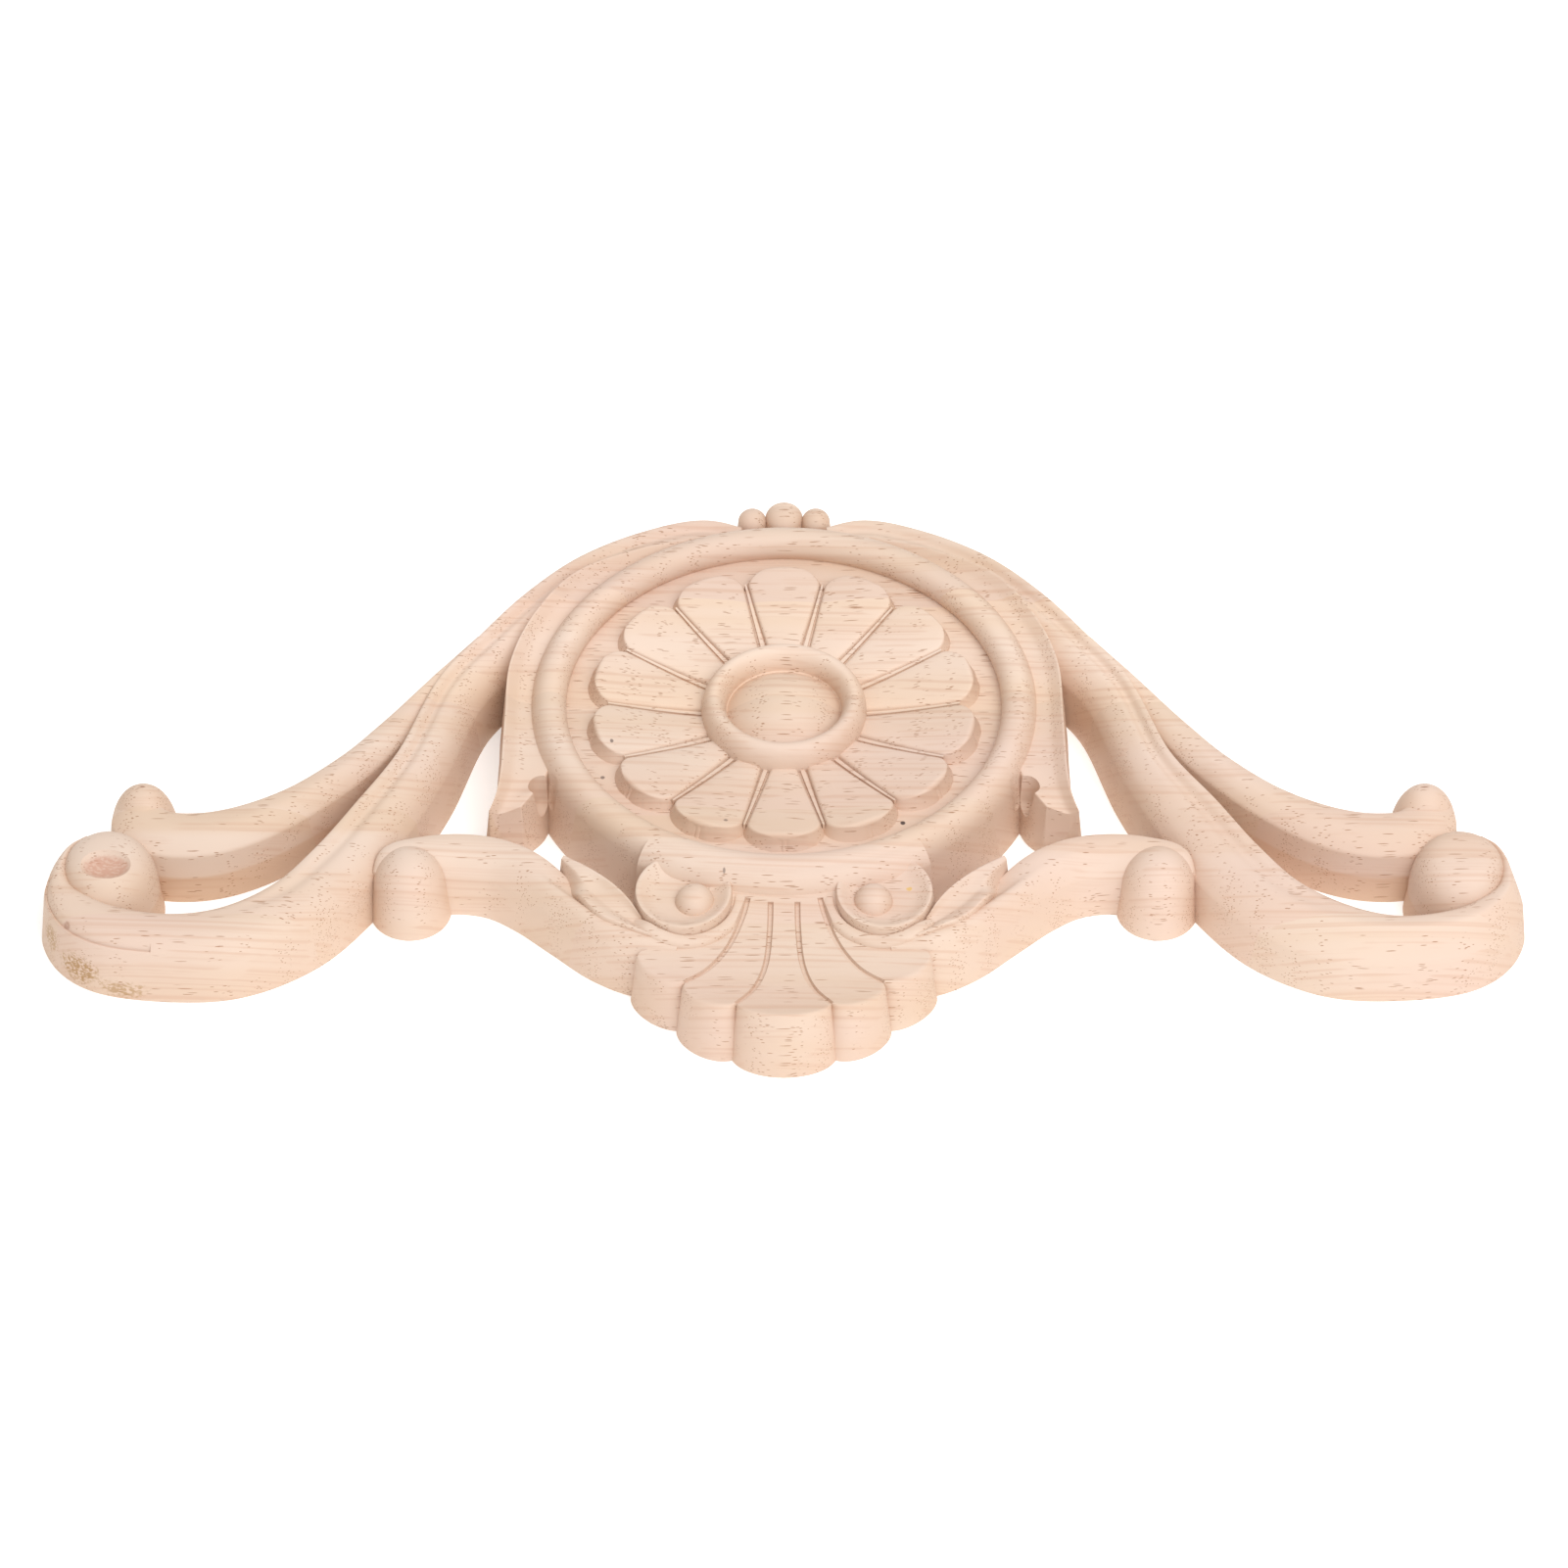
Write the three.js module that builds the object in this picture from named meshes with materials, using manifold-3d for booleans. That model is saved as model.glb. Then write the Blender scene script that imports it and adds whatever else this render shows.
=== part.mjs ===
// A carved wooden applique: a flower medallion between two S-scrolls, with a shell below and three lobes on top.
// Millimetres. The flat back lies on z = 0, the carved face looks along +Z, and +Y is the ornament's top.
// The origin is the medallion's centre, on the back. The left half mirrors the right one.

import * as THREE from 'three';
import { mergeVertices } from 'three/addons/utils/BufferGeometryUtils.js';
import Module from 'manifold-3d';

const wasm = await Module();
wasm.setup();

// Driving sizes of the blank
const scrollReach = 201;          // from the centre to the outermost point of a scroll
const wallDraft = 6;              // degrees that every outer wall leans in towards the face

// Medallion
const medallionRadius = 72;       // at the back
const ringRadius = 64.5;          // crest line of the raised ring
const ringHeight = 23.6;
const ringBeadRadius = 4.5;       // inner half of the ring
const ringRollWidth = 5.6;        // outer half of the ring, which rolls over into the wall
const ringRollDrop = 7.5;
const fieldHeight = 16.5;         // plain ground between the ring and the flower

// Flower
const petalCount = 14;
const petalTipRadius = 53.5;
const petalTipHeight = 21;
const petalRootRadius = 21;
const petalRootHeight = 15.6;
const petalShoulder = 0.8;        // share of the petal's length where its rounded end starts
const petalGap = 1.2;             // width of the groove between two petals
const petalGrooveDepth = 1.3;
const petalCrown = 0.5;           // how far a petal's middle stands above its edges
const petalFlare = 2;             // how far its end wall leans out
const bossRadius = 22.5;          // rope-like collar round the centre
const bossHeight = 22.3;
const buttonRadius = 16.5;
const buttonEdgeHeight = 16.8;
const buttonHeight = 21;

// Side bands that hug the ring like a horseshoe
const bandRadius = 77;
const bandHeight = 22.6;
const bandCove = 3.6;             // depth of the cove between its arris and the ring
const bandTop = 70;               // degrees above the horizontal where it dies into the ring
const bandTaperFrom = 36;

// Scrolls
const strapWidth = 13.5;
const strapHeight = 20.6;
const upperStrapHeight = 19.4;
const branchHeight = 19.6;
const leafHeight = 21;

// Volutes, knuckles and lobes: radius, height where the dome starts, height of its top, and how full the dome is
// (2 for an ellipse, more for a squarer shoulder)
const lowerBall = { radius: 13.6, rim: 6, top: 22.7, length: 1.09, fullness: 3.2 };
const upperBall = { radius: 9.2, rim: 4, top: 21.4, length: 1, fullness: 2.2 };
const knuckle = { radius: 9.8, rim: 11.5, top: 21.5, length: 1, fullness: 2 };
const topLobe = { radius: 5.3, rim: 13.5, top: 17.4, length: 1, fullness: 2 };
const sideLobe = { radius: 4, rim: 13, top: 16.6, length: 1, fullness: 2 };
const topLobePlace = 80.8;        // centre of the middle lobe above the medallion's centre
const sideLobePlace = [9, 80];
const lobeFoot = { radius: 12, rim: 9, top: 12, length: 0.5, fullness: 2 };   // web that ties the lobes to the ring
const lobeFootPlace = 75;

// Shell
const shellRingHeight = 18.2;     // where the flutes start below the ring
const shellHollow = 16.2;         // their lowest level
const shellRimHeight = 21.8;
const shellGrooveWidth = 1.4;
const shellGrooveDepth = 1.1;
const collarRadius = 72.8;        // shoulder that joins the ring to the shell
const collarHeight = 23.3;
const collarDrop = 5.2;
const collarHalfAngle = 33;       // degrees to each side of straight down
const eyeRimRadius = 13;          // the dished discs beside the shell
const eyeLength = 1.08;           // how much longer than wide they are
const eyeRimHeight = 20.4;
const eyeDish = 2.4;
const eyeBall = { radius: 5.3, rim: 17.4, top: 22.4, length: 1.05, fullness: 2 };

// The squared drawing that the free-form points below were set out on
const squaresToWall = 72;         // from its centre to the medallion's wall
const squaresToReach = 201;       // from its centre to the outermost point of a scroll
const grooveStart = 0.085;        // share of a shell groove's line that lies hidden below the ring

const mergeWithin = 0.02;         // faces this close to one plane become one

const lean = Math.tan(THREE.MathUtils.degToRad(wallDraft));
const vec = (x, y, z = 0) => new THREE.Vector3(x, y, z);
const { lerp, smoothstep } = THREE.MathUtils;

// Places a drawn point of the right half: it grows with the medallion, and beyond it with the scroll's reach
function place(x, y) {
  const scale = medallionRadius / squaresToWall;
  const beyond = (scrollReach - medallionRadius) / (squaresToReach - squaresToWall);
  const placedX = x < squaresToWall ? x * scale : medallionRadius + (x - squaresToWall) * beyond;
  return vec(placedX, y * scale);
}

// Smooth curve through plan points
function curveThrough(points) {
  return new THREE.CatmullRomCurve3(points, false, 'centripetal');
}

// Joining and cutting
function solidOf(geometry) {
  const plain = new THREE.BufferGeometry();
  plain.setAttribute('position', geometry.getAttribute('position'));
  plain.setIndex(geometry.getIndex());
  const merged = mergeVertices(plain, 1e-4);
  return new wasm.Manifold(new wasm.Mesh({
    numProp: 3,
    vertProperties: merged.attributes.position.array,
    triVerts: new Uint32Array(merged.index.array),
  }));
}

function geometryOf(solid) {
  const mesh = solid.getMesh();
  const geometry = new THREE.BufferGeometry();
  geometry.setAttribute('position', new THREE.BufferAttribute(mesh.vertProperties, 3));
  geometry.setIndex(new THREE.BufferAttribute(mesh.triVerts, 1));
  return geometry;
}

// Round form about the Z axis, from a closed outline of [radius, height] points
function turned(outline, segments) {
  const points = outline.map(([radius, height]) => new THREE.Vector2(radius, height));
  const geometry = new THREE.LatheGeometry(points, segments);
  return geometry.rotateX(Math.PI / 2);
}

// Index loop round the edge of a grid of rows and columns
function edgeLoop(rows, columns) {
  const loop = [];
  for (let c = 0; c < columns - 1; c += 1) loop.push(c);
  for (let r = 0; r < rows - 1; r += 1) loop.push(r * columns + columns - 1);
  for (let c = columns - 1; c > 0; c -= 1) loop.push((rows - 1) * columns + c);
  for (let r = rows - 1; r > 0; r -= 1) loop.push(r * columns);
  return loop;
}

// Carved form: a grid of points on its face, with leaning walls from the face's edge down to the floor
function carved(grid, floor = 0, flare = lean) {
  const outline = (face) => edgeLoop(face.length, face[0].length).map((i) => face.flat()[i]);
  const clockwise = THREE.ShapeUtils.area(outline(grid)) < 0;
  const face = clockwise ? grid.map((row) => [...row].reverse()) : grid;
  const rows = face.length;
  const columns = face[0].length;
  const top = face.flat();
  const loop = edgeLoop(rows, columns);
  const foot = loop.map((index, i) => {
    const here = top[index];
    const before = top[loop[(i + loop.length - 1) % loop.length]];
    const after = top[loop[(i + 1) % loop.length]];
    const along = vec(after.x - before.x, after.y - before.y).normalize();
    const out = flare * (here.z - floor);
    return vec(here.x + along.y * out, here.y - along.x * out, floor);
  });
  const triangles = [];
  for (let r = 0; r < rows - 1; r += 1) {
    for (let c = 0; c < columns - 1; c += 1) {
      const a = r * columns + c;
      const b = a + 1;
      const d = a + columns;
      triangles.push([a, b, d + 1], [a, d + 1, d]);
    }
  }
  loop.forEach((index, i) => {
    const j = (i + 1) % loop.length;
    const footHere = top.length + i;
    const footNext = top.length + j;
    triangles.push([footHere, footNext, loop[j]], [footHere, loop[j], index]);
  });
  for (const [a, b, c] of THREE.ShapeUtils.triangulateShape(foot, [])) {
    triangles.push([top.length + a, top.length + c, top.length + b]);
  }
  const geometry = new THREE.BufferGeometry().setFromPoints([...top, ...foot]);
  geometry.setIndex(triangles.flat());
  return geometry;
}

// Strap along a drawn line. Each row is [x, y, width, height, roundness], and the two profiles give the drop below
// the strap's height at each share of the way across, from the outer edge in: one crisp, one rounded over.
function strap(rows, profile, steps) {
  const line = curveThrough(rows.map(([x, y]) => place(x, y)));
  const sizes = new THREE.CatmullRomCurve3(rows.map((row) => vec(row[2], row[3], row[4])), false, 'catmullrom');
  const grid = [];
  for (let i = 0; i <= steps; i += 1) {
    const middle = line.getPoint(i / steps);
    const along = line.getTangent(i / steps);
    const size = sizes.getPoint(i / steps);
    grid.push(profile.map(([share, crisp, rounded]) => {
      const aside = (0.5 - share) * size.x;
      const drop = lerp(crisp, rounded, THREE.MathUtils.clamp(size.z, 0, 1));
      return vec(middle.x - along.y * aside, middle.y + along.x * aside, size.y - drop);
    }));
  }
  return carved(grid);
}

// Form between two drawn edges, given as rows of [x, y] points, with a face height and profile like a strap's
function between(outerEdge, innerEdge, heights, profile, steps, roundness = () => 0) {
  const outer = curveThrough(outerEdge);
  const inner = curveThrough(innerEdge);
  const level = curveThrough(heights.map((height, i) => vec(i, height)));
  const grid = [];
  for (let i = 0; i <= steps; i += 1) {
    const t = i / steps;
    const height = level.getPoint(t).y;
    grid.push(profile.map(([share, crisp, rounded]) => {
      const point = outer.getPoint(t).lerp(inner.getPoint(t), share);
      point.z = height - lerp(crisp, rounded, roundness(t));
      return point;
    }));
  }
  return carved(grid);
}

// Round-topped boss with a leaning wall, standing on the back
function boss({ radius, rim, top, length, fullness }, centre, segments = 20) {
  const arcSteps = 3;
  const outline = [[0, 0], [radius + lean * rim, 0]];
  for (let i = 0; i < arcSteps; i += 1) {
    const angle = (i / arcSteps) * Math.PI / 2;
    const across = Math.cos(angle) ** (2 / fullness);
    const rise = Math.sin(angle) ** (2 / fullness);
    outline.push([radius * across, rim + (top - rim) * rise]);
  }
  outline.push([0, top]);
  return turned(outline, segments).scale(1, length, 1).translate(centre.x, centre.y, 0);
}

// Height of the petals' edges at a radius
function petalHeight(radius) {
  const out = (radius - petalRootRadius) / (petalTipRadius - petalRootRadius);
  return lerp(petalRootHeight, petalTipHeight, out);
}

// Medallion: wall, ring, plain field, and the bed that shows in the grooves between the petals
function medallion() {
  const arcSteps = 3;
  const rollFoot = ringHeight - ringRollDrop;
  const beadHeight = ringHeight - ringBeadRadius;
  const outline = [[0, 0], [medallionRadius, 0]];
  for (let i = 0; i <= arcSteps; i += 1) {
    const angle = (i / arcSteps) * Math.PI / 2;
    outline.push([ringRadius + ringRollWidth * Math.cos(angle), rollFoot + ringRollDrop * Math.sin(angle)]);
  }
  const beadFoot = Math.asin((beadHeight - fieldHeight) / ringBeadRadius);
  for (let i = 1; i <= arcSteps; i += 1) {
    const angle = Math.PI / 2 + (i / arcSteps) * (Math.PI / 2 + beadFoot);
    outline.push([ringRadius + ringBeadRadius * Math.cos(angle), beadHeight + ringBeadRadius * Math.sin(angle)]);
  }
  const bedEdge = lerp(petalRootRadius, petalTipRadius, petalShoulder);
  outline.push([bedEdge + 1, fieldHeight]);
  outline.push([bedEdge, petalHeight(bedEdge) - petalGrooveDepth]);
  outline.push([petalRootRadius - 1, petalRootHeight - petalGrooveDepth]);
  outline.push([0, petalRootHeight - petalGrooveDepth]);
  return turned(outline, 4 * petalCount);
}

// One petal, pointing along +X
function petal() {
  const wedge = Math.tan(Math.PI / petalCount);
  const start = lerp(petalRootRadius, petalTipRadius, petalShoulder);
  const stations = [petalRootRadius - 2, lerp(petalRootRadius, start, 0.5), start];
  for (const share of [0.5, 0.83, 1]) stations.push(lerp(start, petalTipRadius, share));
  const grid = stations.map((radius) => {
    const end = Math.max(0, (radius - start) / (petalTipRadius - start));
    const full = Math.min(radius, start) * wedge - petalGap / 2;
    const half = full * Math.sqrt(Math.max(0.02, 1 - end * end));
    return [-1, 0, 1].map((side) => {
      const crown = petalCrown * (1 - side * side);
      return vec(radius, side * half, petalHeight(radius) + crown);
    });
  });
  const floor = petalRootHeight - 2 * petalGrooveDepth;
  return carved(grid, floor, petalFlare / (petalTipHeight - fieldHeight) / 2);
}

// Collar and button at the flower's centre
function flowerCentre() {
  const collarMiddle = (bossRadius + buttonRadius) / 2;
  const collarHalf = (bossRadius - buttonRadius) / 2;
  const collarFoot = bossHeight - 1.8 * collarHalf;
  const steps = 4;
  const outline = [[0, petalRootHeight - 3 * petalGrooveDepth], [bossRadius, petalRootHeight - 3 * petalGrooveDepth]];
  for (let i = 0; i <= steps; i += 1) {
    const angle = (i / steps) * Math.PI;
    outline.push([collarMiddle + collarHalf * Math.cos(angle), collarFoot + 1.8 * collarHalf * Math.sin(angle)]);
  }
  const domeSteps = 3;
  for (let i = 0; i < domeSteps; i += 1) {
    const share = 1 - i / domeSteps;
    const rise = (buttonHeight - buttonEdgeHeight) * (1 - share * share);
    outline.push([(buttonRadius - 0.2) * share, buttonEdgeHeight + rise]);
  }
  outline.push([0, buttonHeight]);
  return turned(outline, 2 * petalCount);
}

// Side band: an arris follows the ring outside it, then hangs straight down in a free tab
function sideBand() {
  const outerEdge = [];
  const innerEdge = [];
  const heights = [];
  for (let angle = bandTop; angle > -8; angle -= 15) {
    const taper = smoothstep(angle, bandTaperFrom, bandTop);
    const radius = lerp(bandRadius, medallionRadius - 1.5, taper);
    const turn = THREE.MathUtils.degToRad(angle);
    outerEdge.push(vec(radius * Math.cos(turn), radius * Math.sin(turn)));
    innerEdge.push(vec((ringRadius - 1) * Math.cos(turn), (ringRadius - 1) * Math.sin(turn)));
    heights.push(lerp(bandHeight, ringHeight - 3, taper));
  }
  const tab = [
    [77, -17, 62.5, -15, 0],
    [77.3, -28, 64, -25, 0],
    [78, -35, 66.3, -30.8, 0.8],
    [79, -38.6, 68.2, -34.8, 2],
    [80.2, -41, 71.4, -38.6, 3.6],
  ];
  const beyond = bandRadius - place(77, 0).x;
  for (const [outerX, outerY, innerX, innerY, drop] of tab) {
    outerEdge.push(place(outerX, outerY).add(vec(beyond, 0)));
    innerEdge.push(place(innerX, innerY));
    heights.push(bandHeight - drop);
  }
  const profile = [
    [0, 0, 0],
    [0.14, 0.45 * bandCove, 0.45 * bandCove],
    [0.32, 0.85 * bandCove, 0.75 * bandCove],
    [0.54, bandCove, 0.7 * bandCove],
    [1, bandCove, 0.4 * bandCove],
  ];
  return between(outerEdge, innerEdge, heights, profile, 24, (t) => smoothstep(t, 0.75, 0.9));
}

// Lower strap: from beside the top lobes, down outside the band and round into the big volute
function lowerStrap() {
  const w = strapWidth;
  const h = strapHeight;
  const rows = [
    [13, 66.5, w - 1, h - 2.6, 0],
    [22.6, 68.2, w, h - 1.9, 0],
    [36.5, 64, w, h - 1.6, 0],
    [53.2, 53.8, w, h - 1, 0],
    [67, 39.4, w, h - 0.5, 0],
    [79, 22.7, w - 0.5, h, 0],
    [89.3, 7.2, w - 0.8, h, 0],
    [99.6, -23.2, w, h + 0.4, 0],
    [109.4, -43.8, w + 1, h + 0.4, 0],
    [119.8, -61.6, w + 2, h, 0.1],
    [131.8, -75.9, w + 1.9, h, 0.4],
    [148.4, -84.8, w + 1.8, h, 0.9],
    [165, -86.6, w + 0.3, h, 1],
    [182, -83.6, w + 0.3, h, 1],
    [189.9, -78.3, w - 1, h - 0.4, 1],
    [195.1, -71.3, w - 4.6, h - 0.8, 1],
    [196, -65.4, w - 7.5, h - 1, 1],
    [195.3, -59.6, w - 9.5, h - 1.5, 1],
    [192.8, -54, w - 11, h - 2, 1],
    [189, -50.2, w - 12, h - 2.6, 1],
  ];
  const profile = [
    [0, 0, 3.4],
    [0.13, 0.3, 1.2],
    [0.28, 1.7, 0.3],
    [0.43, 1, 0],
    [0.62, 1.8, 0.3],
    [0.82, 3.8, 1.4],
    [1, 7.5, 4],
  ];
  return strap(rows, profile, 44);
}

// Upper strap: splits off the lower one and runs out above the slit
function upperStrap() {
  const h = upperStrapHeight;
  const rows = [
    [84.3, 25.6, 3, h, 0],
    [94, 11.3, 5, h, 0],
    [107.4, -9.9, 8.5, h + 0.2, 0.3],
    [117.9, -22.8, 9.5, h + 0.2, 1],
    [132.8, -36.6, 11, h, 1],
    [148, -45.6, 13.6, h, 1],
    [159.5, -48.6, 14.8, h, 1],
    [169.8, -47.6, 15, h, 1],
    [175.6, -42.6, 14.6, h, 1],
    [176, -36.5, 11, h, 1],
  ];
  const profile = [
    [0, 0.6, 1.6],
    [0.16, 0, 0.4],
    [0.42, 0, 0],
    [0.7, 0.5, 1],
    [1, 1.8, 3.6],
  ];
  return strap(rows, profile, 20);
}

// Branch from the knuckle to the shell
function branch() {
  const h = branchHeight;
  const rows = [
    [28, -89, 9, h - 1.5, 0],
    [38, -86, 12.5, h - 0.4, 0],
    [47.5, -81, 12.5, h, 0],
    [58, -72.2, 11.8, h, 0],
    [69, -62.8, 11.4, h, 0],
    [78, -57.6, 11, h, 0],
    [88, -55.8, 10.8, h, 0],
    [98, -57, 11, h, 0],
    [105.5, -59.6, 10.5, h - 0.4, 0],
    [109.2, -63, 6, h - 4, 0],
  ];
  const profile = [
    [0, 0.8, 0.8],
    [0.2, 0, 0],
    [0.5, 0.5, 0.5],
    [0.8, 2.6, 2.6],
    [1, 6, 6],
  ];
  return strap(rows, profile, 20);
}

// Leaf between the branch and the medallion, with a hollow face
function leaf() {
  const upper = [[59.3, -59.4], [51, -66], [45.6, -71], [40.8, -75.8], [35, -80]];
  const lower = [[60.4, -62], [57, -67.8], [53, -75.5], [47, -81.5], [36, -86.5]];
  const h = leafHeight;
  const profile = [
    [0, 0],
    [0.28, 1.6],
    [0.52, 1.6],
    [0.75, 0.3],
    [1, 3],
  ].map(([share, drop]) => [share, drop, drop]);
  const onPlan = ([x, y]) => place(x, y);
  return between(upper.map(onPlan), lower.map(onPlan), [h - 0.8, h, h, h - 0.5, h - 1], profile, 8);
}

// Height of the shell's scooped face at a distance from the ring
function shellHeight(y) {
  const ringEdge = -0.99 * medallionRadius;
  const hollowAt = place(0, -95).y;
  const rimAt = place(0, -120.3).y;
  if (y > hollowAt) {
    const share = (y - hollowAt) / (ringEdge - hollowAt);
    return lerp(shellHollow, shellRingHeight, share * share);
  }
  const share = (hollowAt - y) / (hollowAt - rimAt);
  return lerp(shellHollow, shellRimHeight, share * share);
}

// One flute of the shell between two drawn edges, with a rounded end
function flute(left, right, bulge, columns = 6, rows = 6) {
  const leftEdge = curveThrough(left.map(([x, y]) => place(x, y)));
  const rightEdge = curveThrough(right.map(([x, y]) => place(x, y)));
  const grid = [];
  for (let r = 0; r <= rows; r += 1) {
    const t = r / rows;
    const from = leftEdge.getPoint(t);
    const to = rightEdge.getPoint(t);
    const row = [];
    for (let c = 0; c <= columns; c += 1) {
      const across = (1 - Math.cos((c / columns) * Math.PI)) / 2;
      const round = 1 - (2 * across - 1) ** 2;
      const out = Math.sqrt(round) * t * t;
      const point = from.clone().lerp(to, across).add(vec(bulge[0] * out, bulge[1] * out));
      point.z = shellHeight(point.y);
      row.push(point);
    }
    grid.push(row);
  }
  return carved(grid);
}

const innerGroove = [[3.6, -70], [3.8, -84], [5, -97], [8, -106.5], [12.6, -113.6]];
const outerGroove = [[9, -70], [11.2, -80], [15.1, -90.5], [20.2, -98.3], [26.4, -103.6]];
const shellSide = [[20, -70], [22, -84], [30, -89.5], [36, -91], [38.8, -92]];
const mirrored = (points) => points.map(([x, y]) => [-x, y]);

function shellMiddle() {
  return flute(mirrored(innerGroove), innerGroove, [0, -7]);
}

function shellMiddleFlute() {
  return flute(innerGroove, outerGroove, [3.3, -4]);
}

function shellOuterFlute() {
  return flute(outerGroove, shellSide, [3.4, -2.8]);
}

// Narrow groove cut along a drawn line of the shell
function shellGroove(points) {
  const line = curveThrough(points.map(([x, y]) => place(x, y)));
  const steps = 7;
  const grid = [];
  for (let i = 0; i <= steps; i += 1) {
    const t = lerp(grooveStart, 1, i / steps);
    const middle = line.getPoint(t);
    const along = line.getTangent(t);
    const level = shellHeight(middle.y);
    grid.push([-1, 0, 1].map((side) => {
      const aside = side * shellGrooveWidth;
      const height = level - shellGrooveDepth + Math.abs(side) * 2 * shellGrooveDepth;
      return vec(middle.x - along.y * aside, middle.y + along.x * aside, height);
    }));
  }
  return channelCutter(grid, shellRimHeight + 5);
}

// Cutter whose underside is the grid and whose top is flat
function channelCutter(grid, roof) {
  const upsideDown = grid.map((row) => row.map((p) => vec(p.x, -p.y, roof - p.z)));
  return carved(upsideDown, 0, 0).rotateX(Math.PI).translate(0, 0, roof);
}

// Shoulder below the ring, from which the shell and the discs spring
function collar() {
  const outerEdge = [];
  const innerEdge = [];
  for (let share = -1; share <= 1; share += 0.25) {
    const turn = THREE.MathUtils.degToRad(-90 + share * collarHalfAngle);
    outerEdge.push(vec(collarRadius * Math.cos(turn), collarRadius * Math.sin(turn)));
    innerEdge.push(vec(ringRadius * Math.cos(turn), ringRadius * Math.sin(turn)));
  }
  const profile = [
    [0, 1],
    [0.2, 0.55],
    [0.5, 0.2],
    [1, 0],
  ].map(([share, drop]) => [share, drop * collarDrop, drop * collarDrop]);
  return between(outerEdge, innerEdge, outerEdge.map(() => collarHeight), profile, 12);
}

// Dished disc beside the shell
function eyeDisc() {
  const r = eyeRimRadius;
  const h = eyeRimHeight;
  const outline = [
    [0, 0],
    [r + lean * h, 0],
    [r, h - 0.4],
    [r - 0.9, h],
    [r - 3, h - 0.6 * eyeDish],
    [r - 6.5, h - eyeDish],
    [0, h - eyeDish],
  ];
  const centre = place(27, -73);
  return turned(outline, 24).scale(1, eyeLength, 1).translate(centre.x, centre.y, 0);
}

const copyMirrored = (solid) => solid.mirror([1, 0, 0]);

// The whole right half without the medallion
function rightHalf() {
  const forms = [
    lowerStrap(),
    upperStrap(),
    sideBand(),
    boss(lowerBall, place(182.2, -61.5), 24),
    boss(upperBall, place(174.8, -36.8), 18),
    boss(knuckle, place(101.3, -61.4), 20),
    branch(),
    leaf(),
    shellMiddleFlute(),
    shellOuterFlute(),
    eyeDisc(),
    boss(eyeBall, place(24, -75), 14),
    boss(sideLobe, place(...sideLobePlace), 14),
  ];
  return forms.map(solidOf);
}

function applique() {
  const parts = [medallion(), flowerCentre(), collar(), shellMiddle()].map(solidOf);
  parts.push(solidOf(boss(topLobe, place(0, topLobePlace), 16)));
  parts.push(solidOf(boss(lobeFoot, place(0, lobeFootPlace), 16)));
  for (let i = 0; i < petalCount; i += 1) {
    parts.push(solidOf(petal().rotateZ(Math.PI / 2 + (i / petalCount) * 2 * Math.PI)));
  }
  for (const half of rightHalf()) parts.push(half, copyMirrored(half));
  let whole = parts[0];
  for (const part of parts.slice(1)) whole = whole.add(part);
  for (const groove of [innerGroove, outerGroove]) {
    const cut = solidOf(shellGroove(groove));
    whole = whole.subtract(cut).subtract(copyMirrored(cut));
  }
  return geometryOf(whole.asOriginal().simplify(mergeWithin));
}

const group = new THREE.Group();
const wood = new THREE.MeshStandardMaterial({ color: 0xe8cba9, roughness: 0.62, metalness: 0 });
const piece = new THREE.Mesh(applique(), wood);
piece.name = 'applique';
group.add(piece);

export default group;
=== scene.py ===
# %% [markdown]
# # A carved wooden applique
# This ornament is cut from one thin blank of pale rubberwood and glued to furniture: a flower medallion,
# two S-scrolls, a scooped shell below and three small lobes on top. The solid model already has its size,
# outline and main carving, so it is loaded first, and everything here is fitted to it.

# %% Load the frame
import math

import bmesh
import bpy
import numpy as np
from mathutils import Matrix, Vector
from mathutils.kdtree import KDTree


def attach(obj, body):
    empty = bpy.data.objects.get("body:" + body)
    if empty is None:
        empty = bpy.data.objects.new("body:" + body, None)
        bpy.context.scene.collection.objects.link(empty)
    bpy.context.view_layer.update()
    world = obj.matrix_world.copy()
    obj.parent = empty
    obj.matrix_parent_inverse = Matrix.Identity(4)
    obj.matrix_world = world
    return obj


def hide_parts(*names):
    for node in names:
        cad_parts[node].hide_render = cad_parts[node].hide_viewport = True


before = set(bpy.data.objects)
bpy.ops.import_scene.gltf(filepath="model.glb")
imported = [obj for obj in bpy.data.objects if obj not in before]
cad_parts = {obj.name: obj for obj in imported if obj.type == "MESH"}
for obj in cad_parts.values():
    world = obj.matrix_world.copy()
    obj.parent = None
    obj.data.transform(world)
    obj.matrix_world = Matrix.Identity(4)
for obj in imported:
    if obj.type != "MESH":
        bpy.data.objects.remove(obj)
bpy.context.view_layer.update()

MM = 0.001


# %% [markdown]
# ## Camera, floor and light
# A catalogue picture of such a piece is taken from far away with a long lens, so its walls stay nearly
# parallel. The camera looks down at 45 degrees. The floor is plain and very pale, and the light is a bright
# even room with one large soft lamp above, because the carving should read from soft shading alone, with no
# hard shadow.

# %% Camera
CAMERA_DISTANCE = 2.0
CAMERA_TILT = math.radians(45)
AIM_POINT = Vector((0, -12.4 * MM, 0))
LENS, SENSOR_WIDTH = 166.12, 36

camera_data = bpy.data.cameras.new("camera")
camera_data.lens = LENS
camera_data.sensor_width = SENSOR_WIDTH
camera = bpy.data.objects.new("camera", camera_data)
bpy.context.collection.objects.link(camera)
away = Vector((0, -math.sin(CAMERA_TILT), math.cos(CAMERA_TILT)))
camera.location = AIM_POINT + CAMERA_DISTANCE * away
camera.rotation_euler = (CAMERA_TILT, 0, 0)
bpy.context.scene.camera = camera
bpy.context.scene.view_settings.view_transform = "Standard"
print("camera at", [round(v, 3) for v in camera.location])


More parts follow.
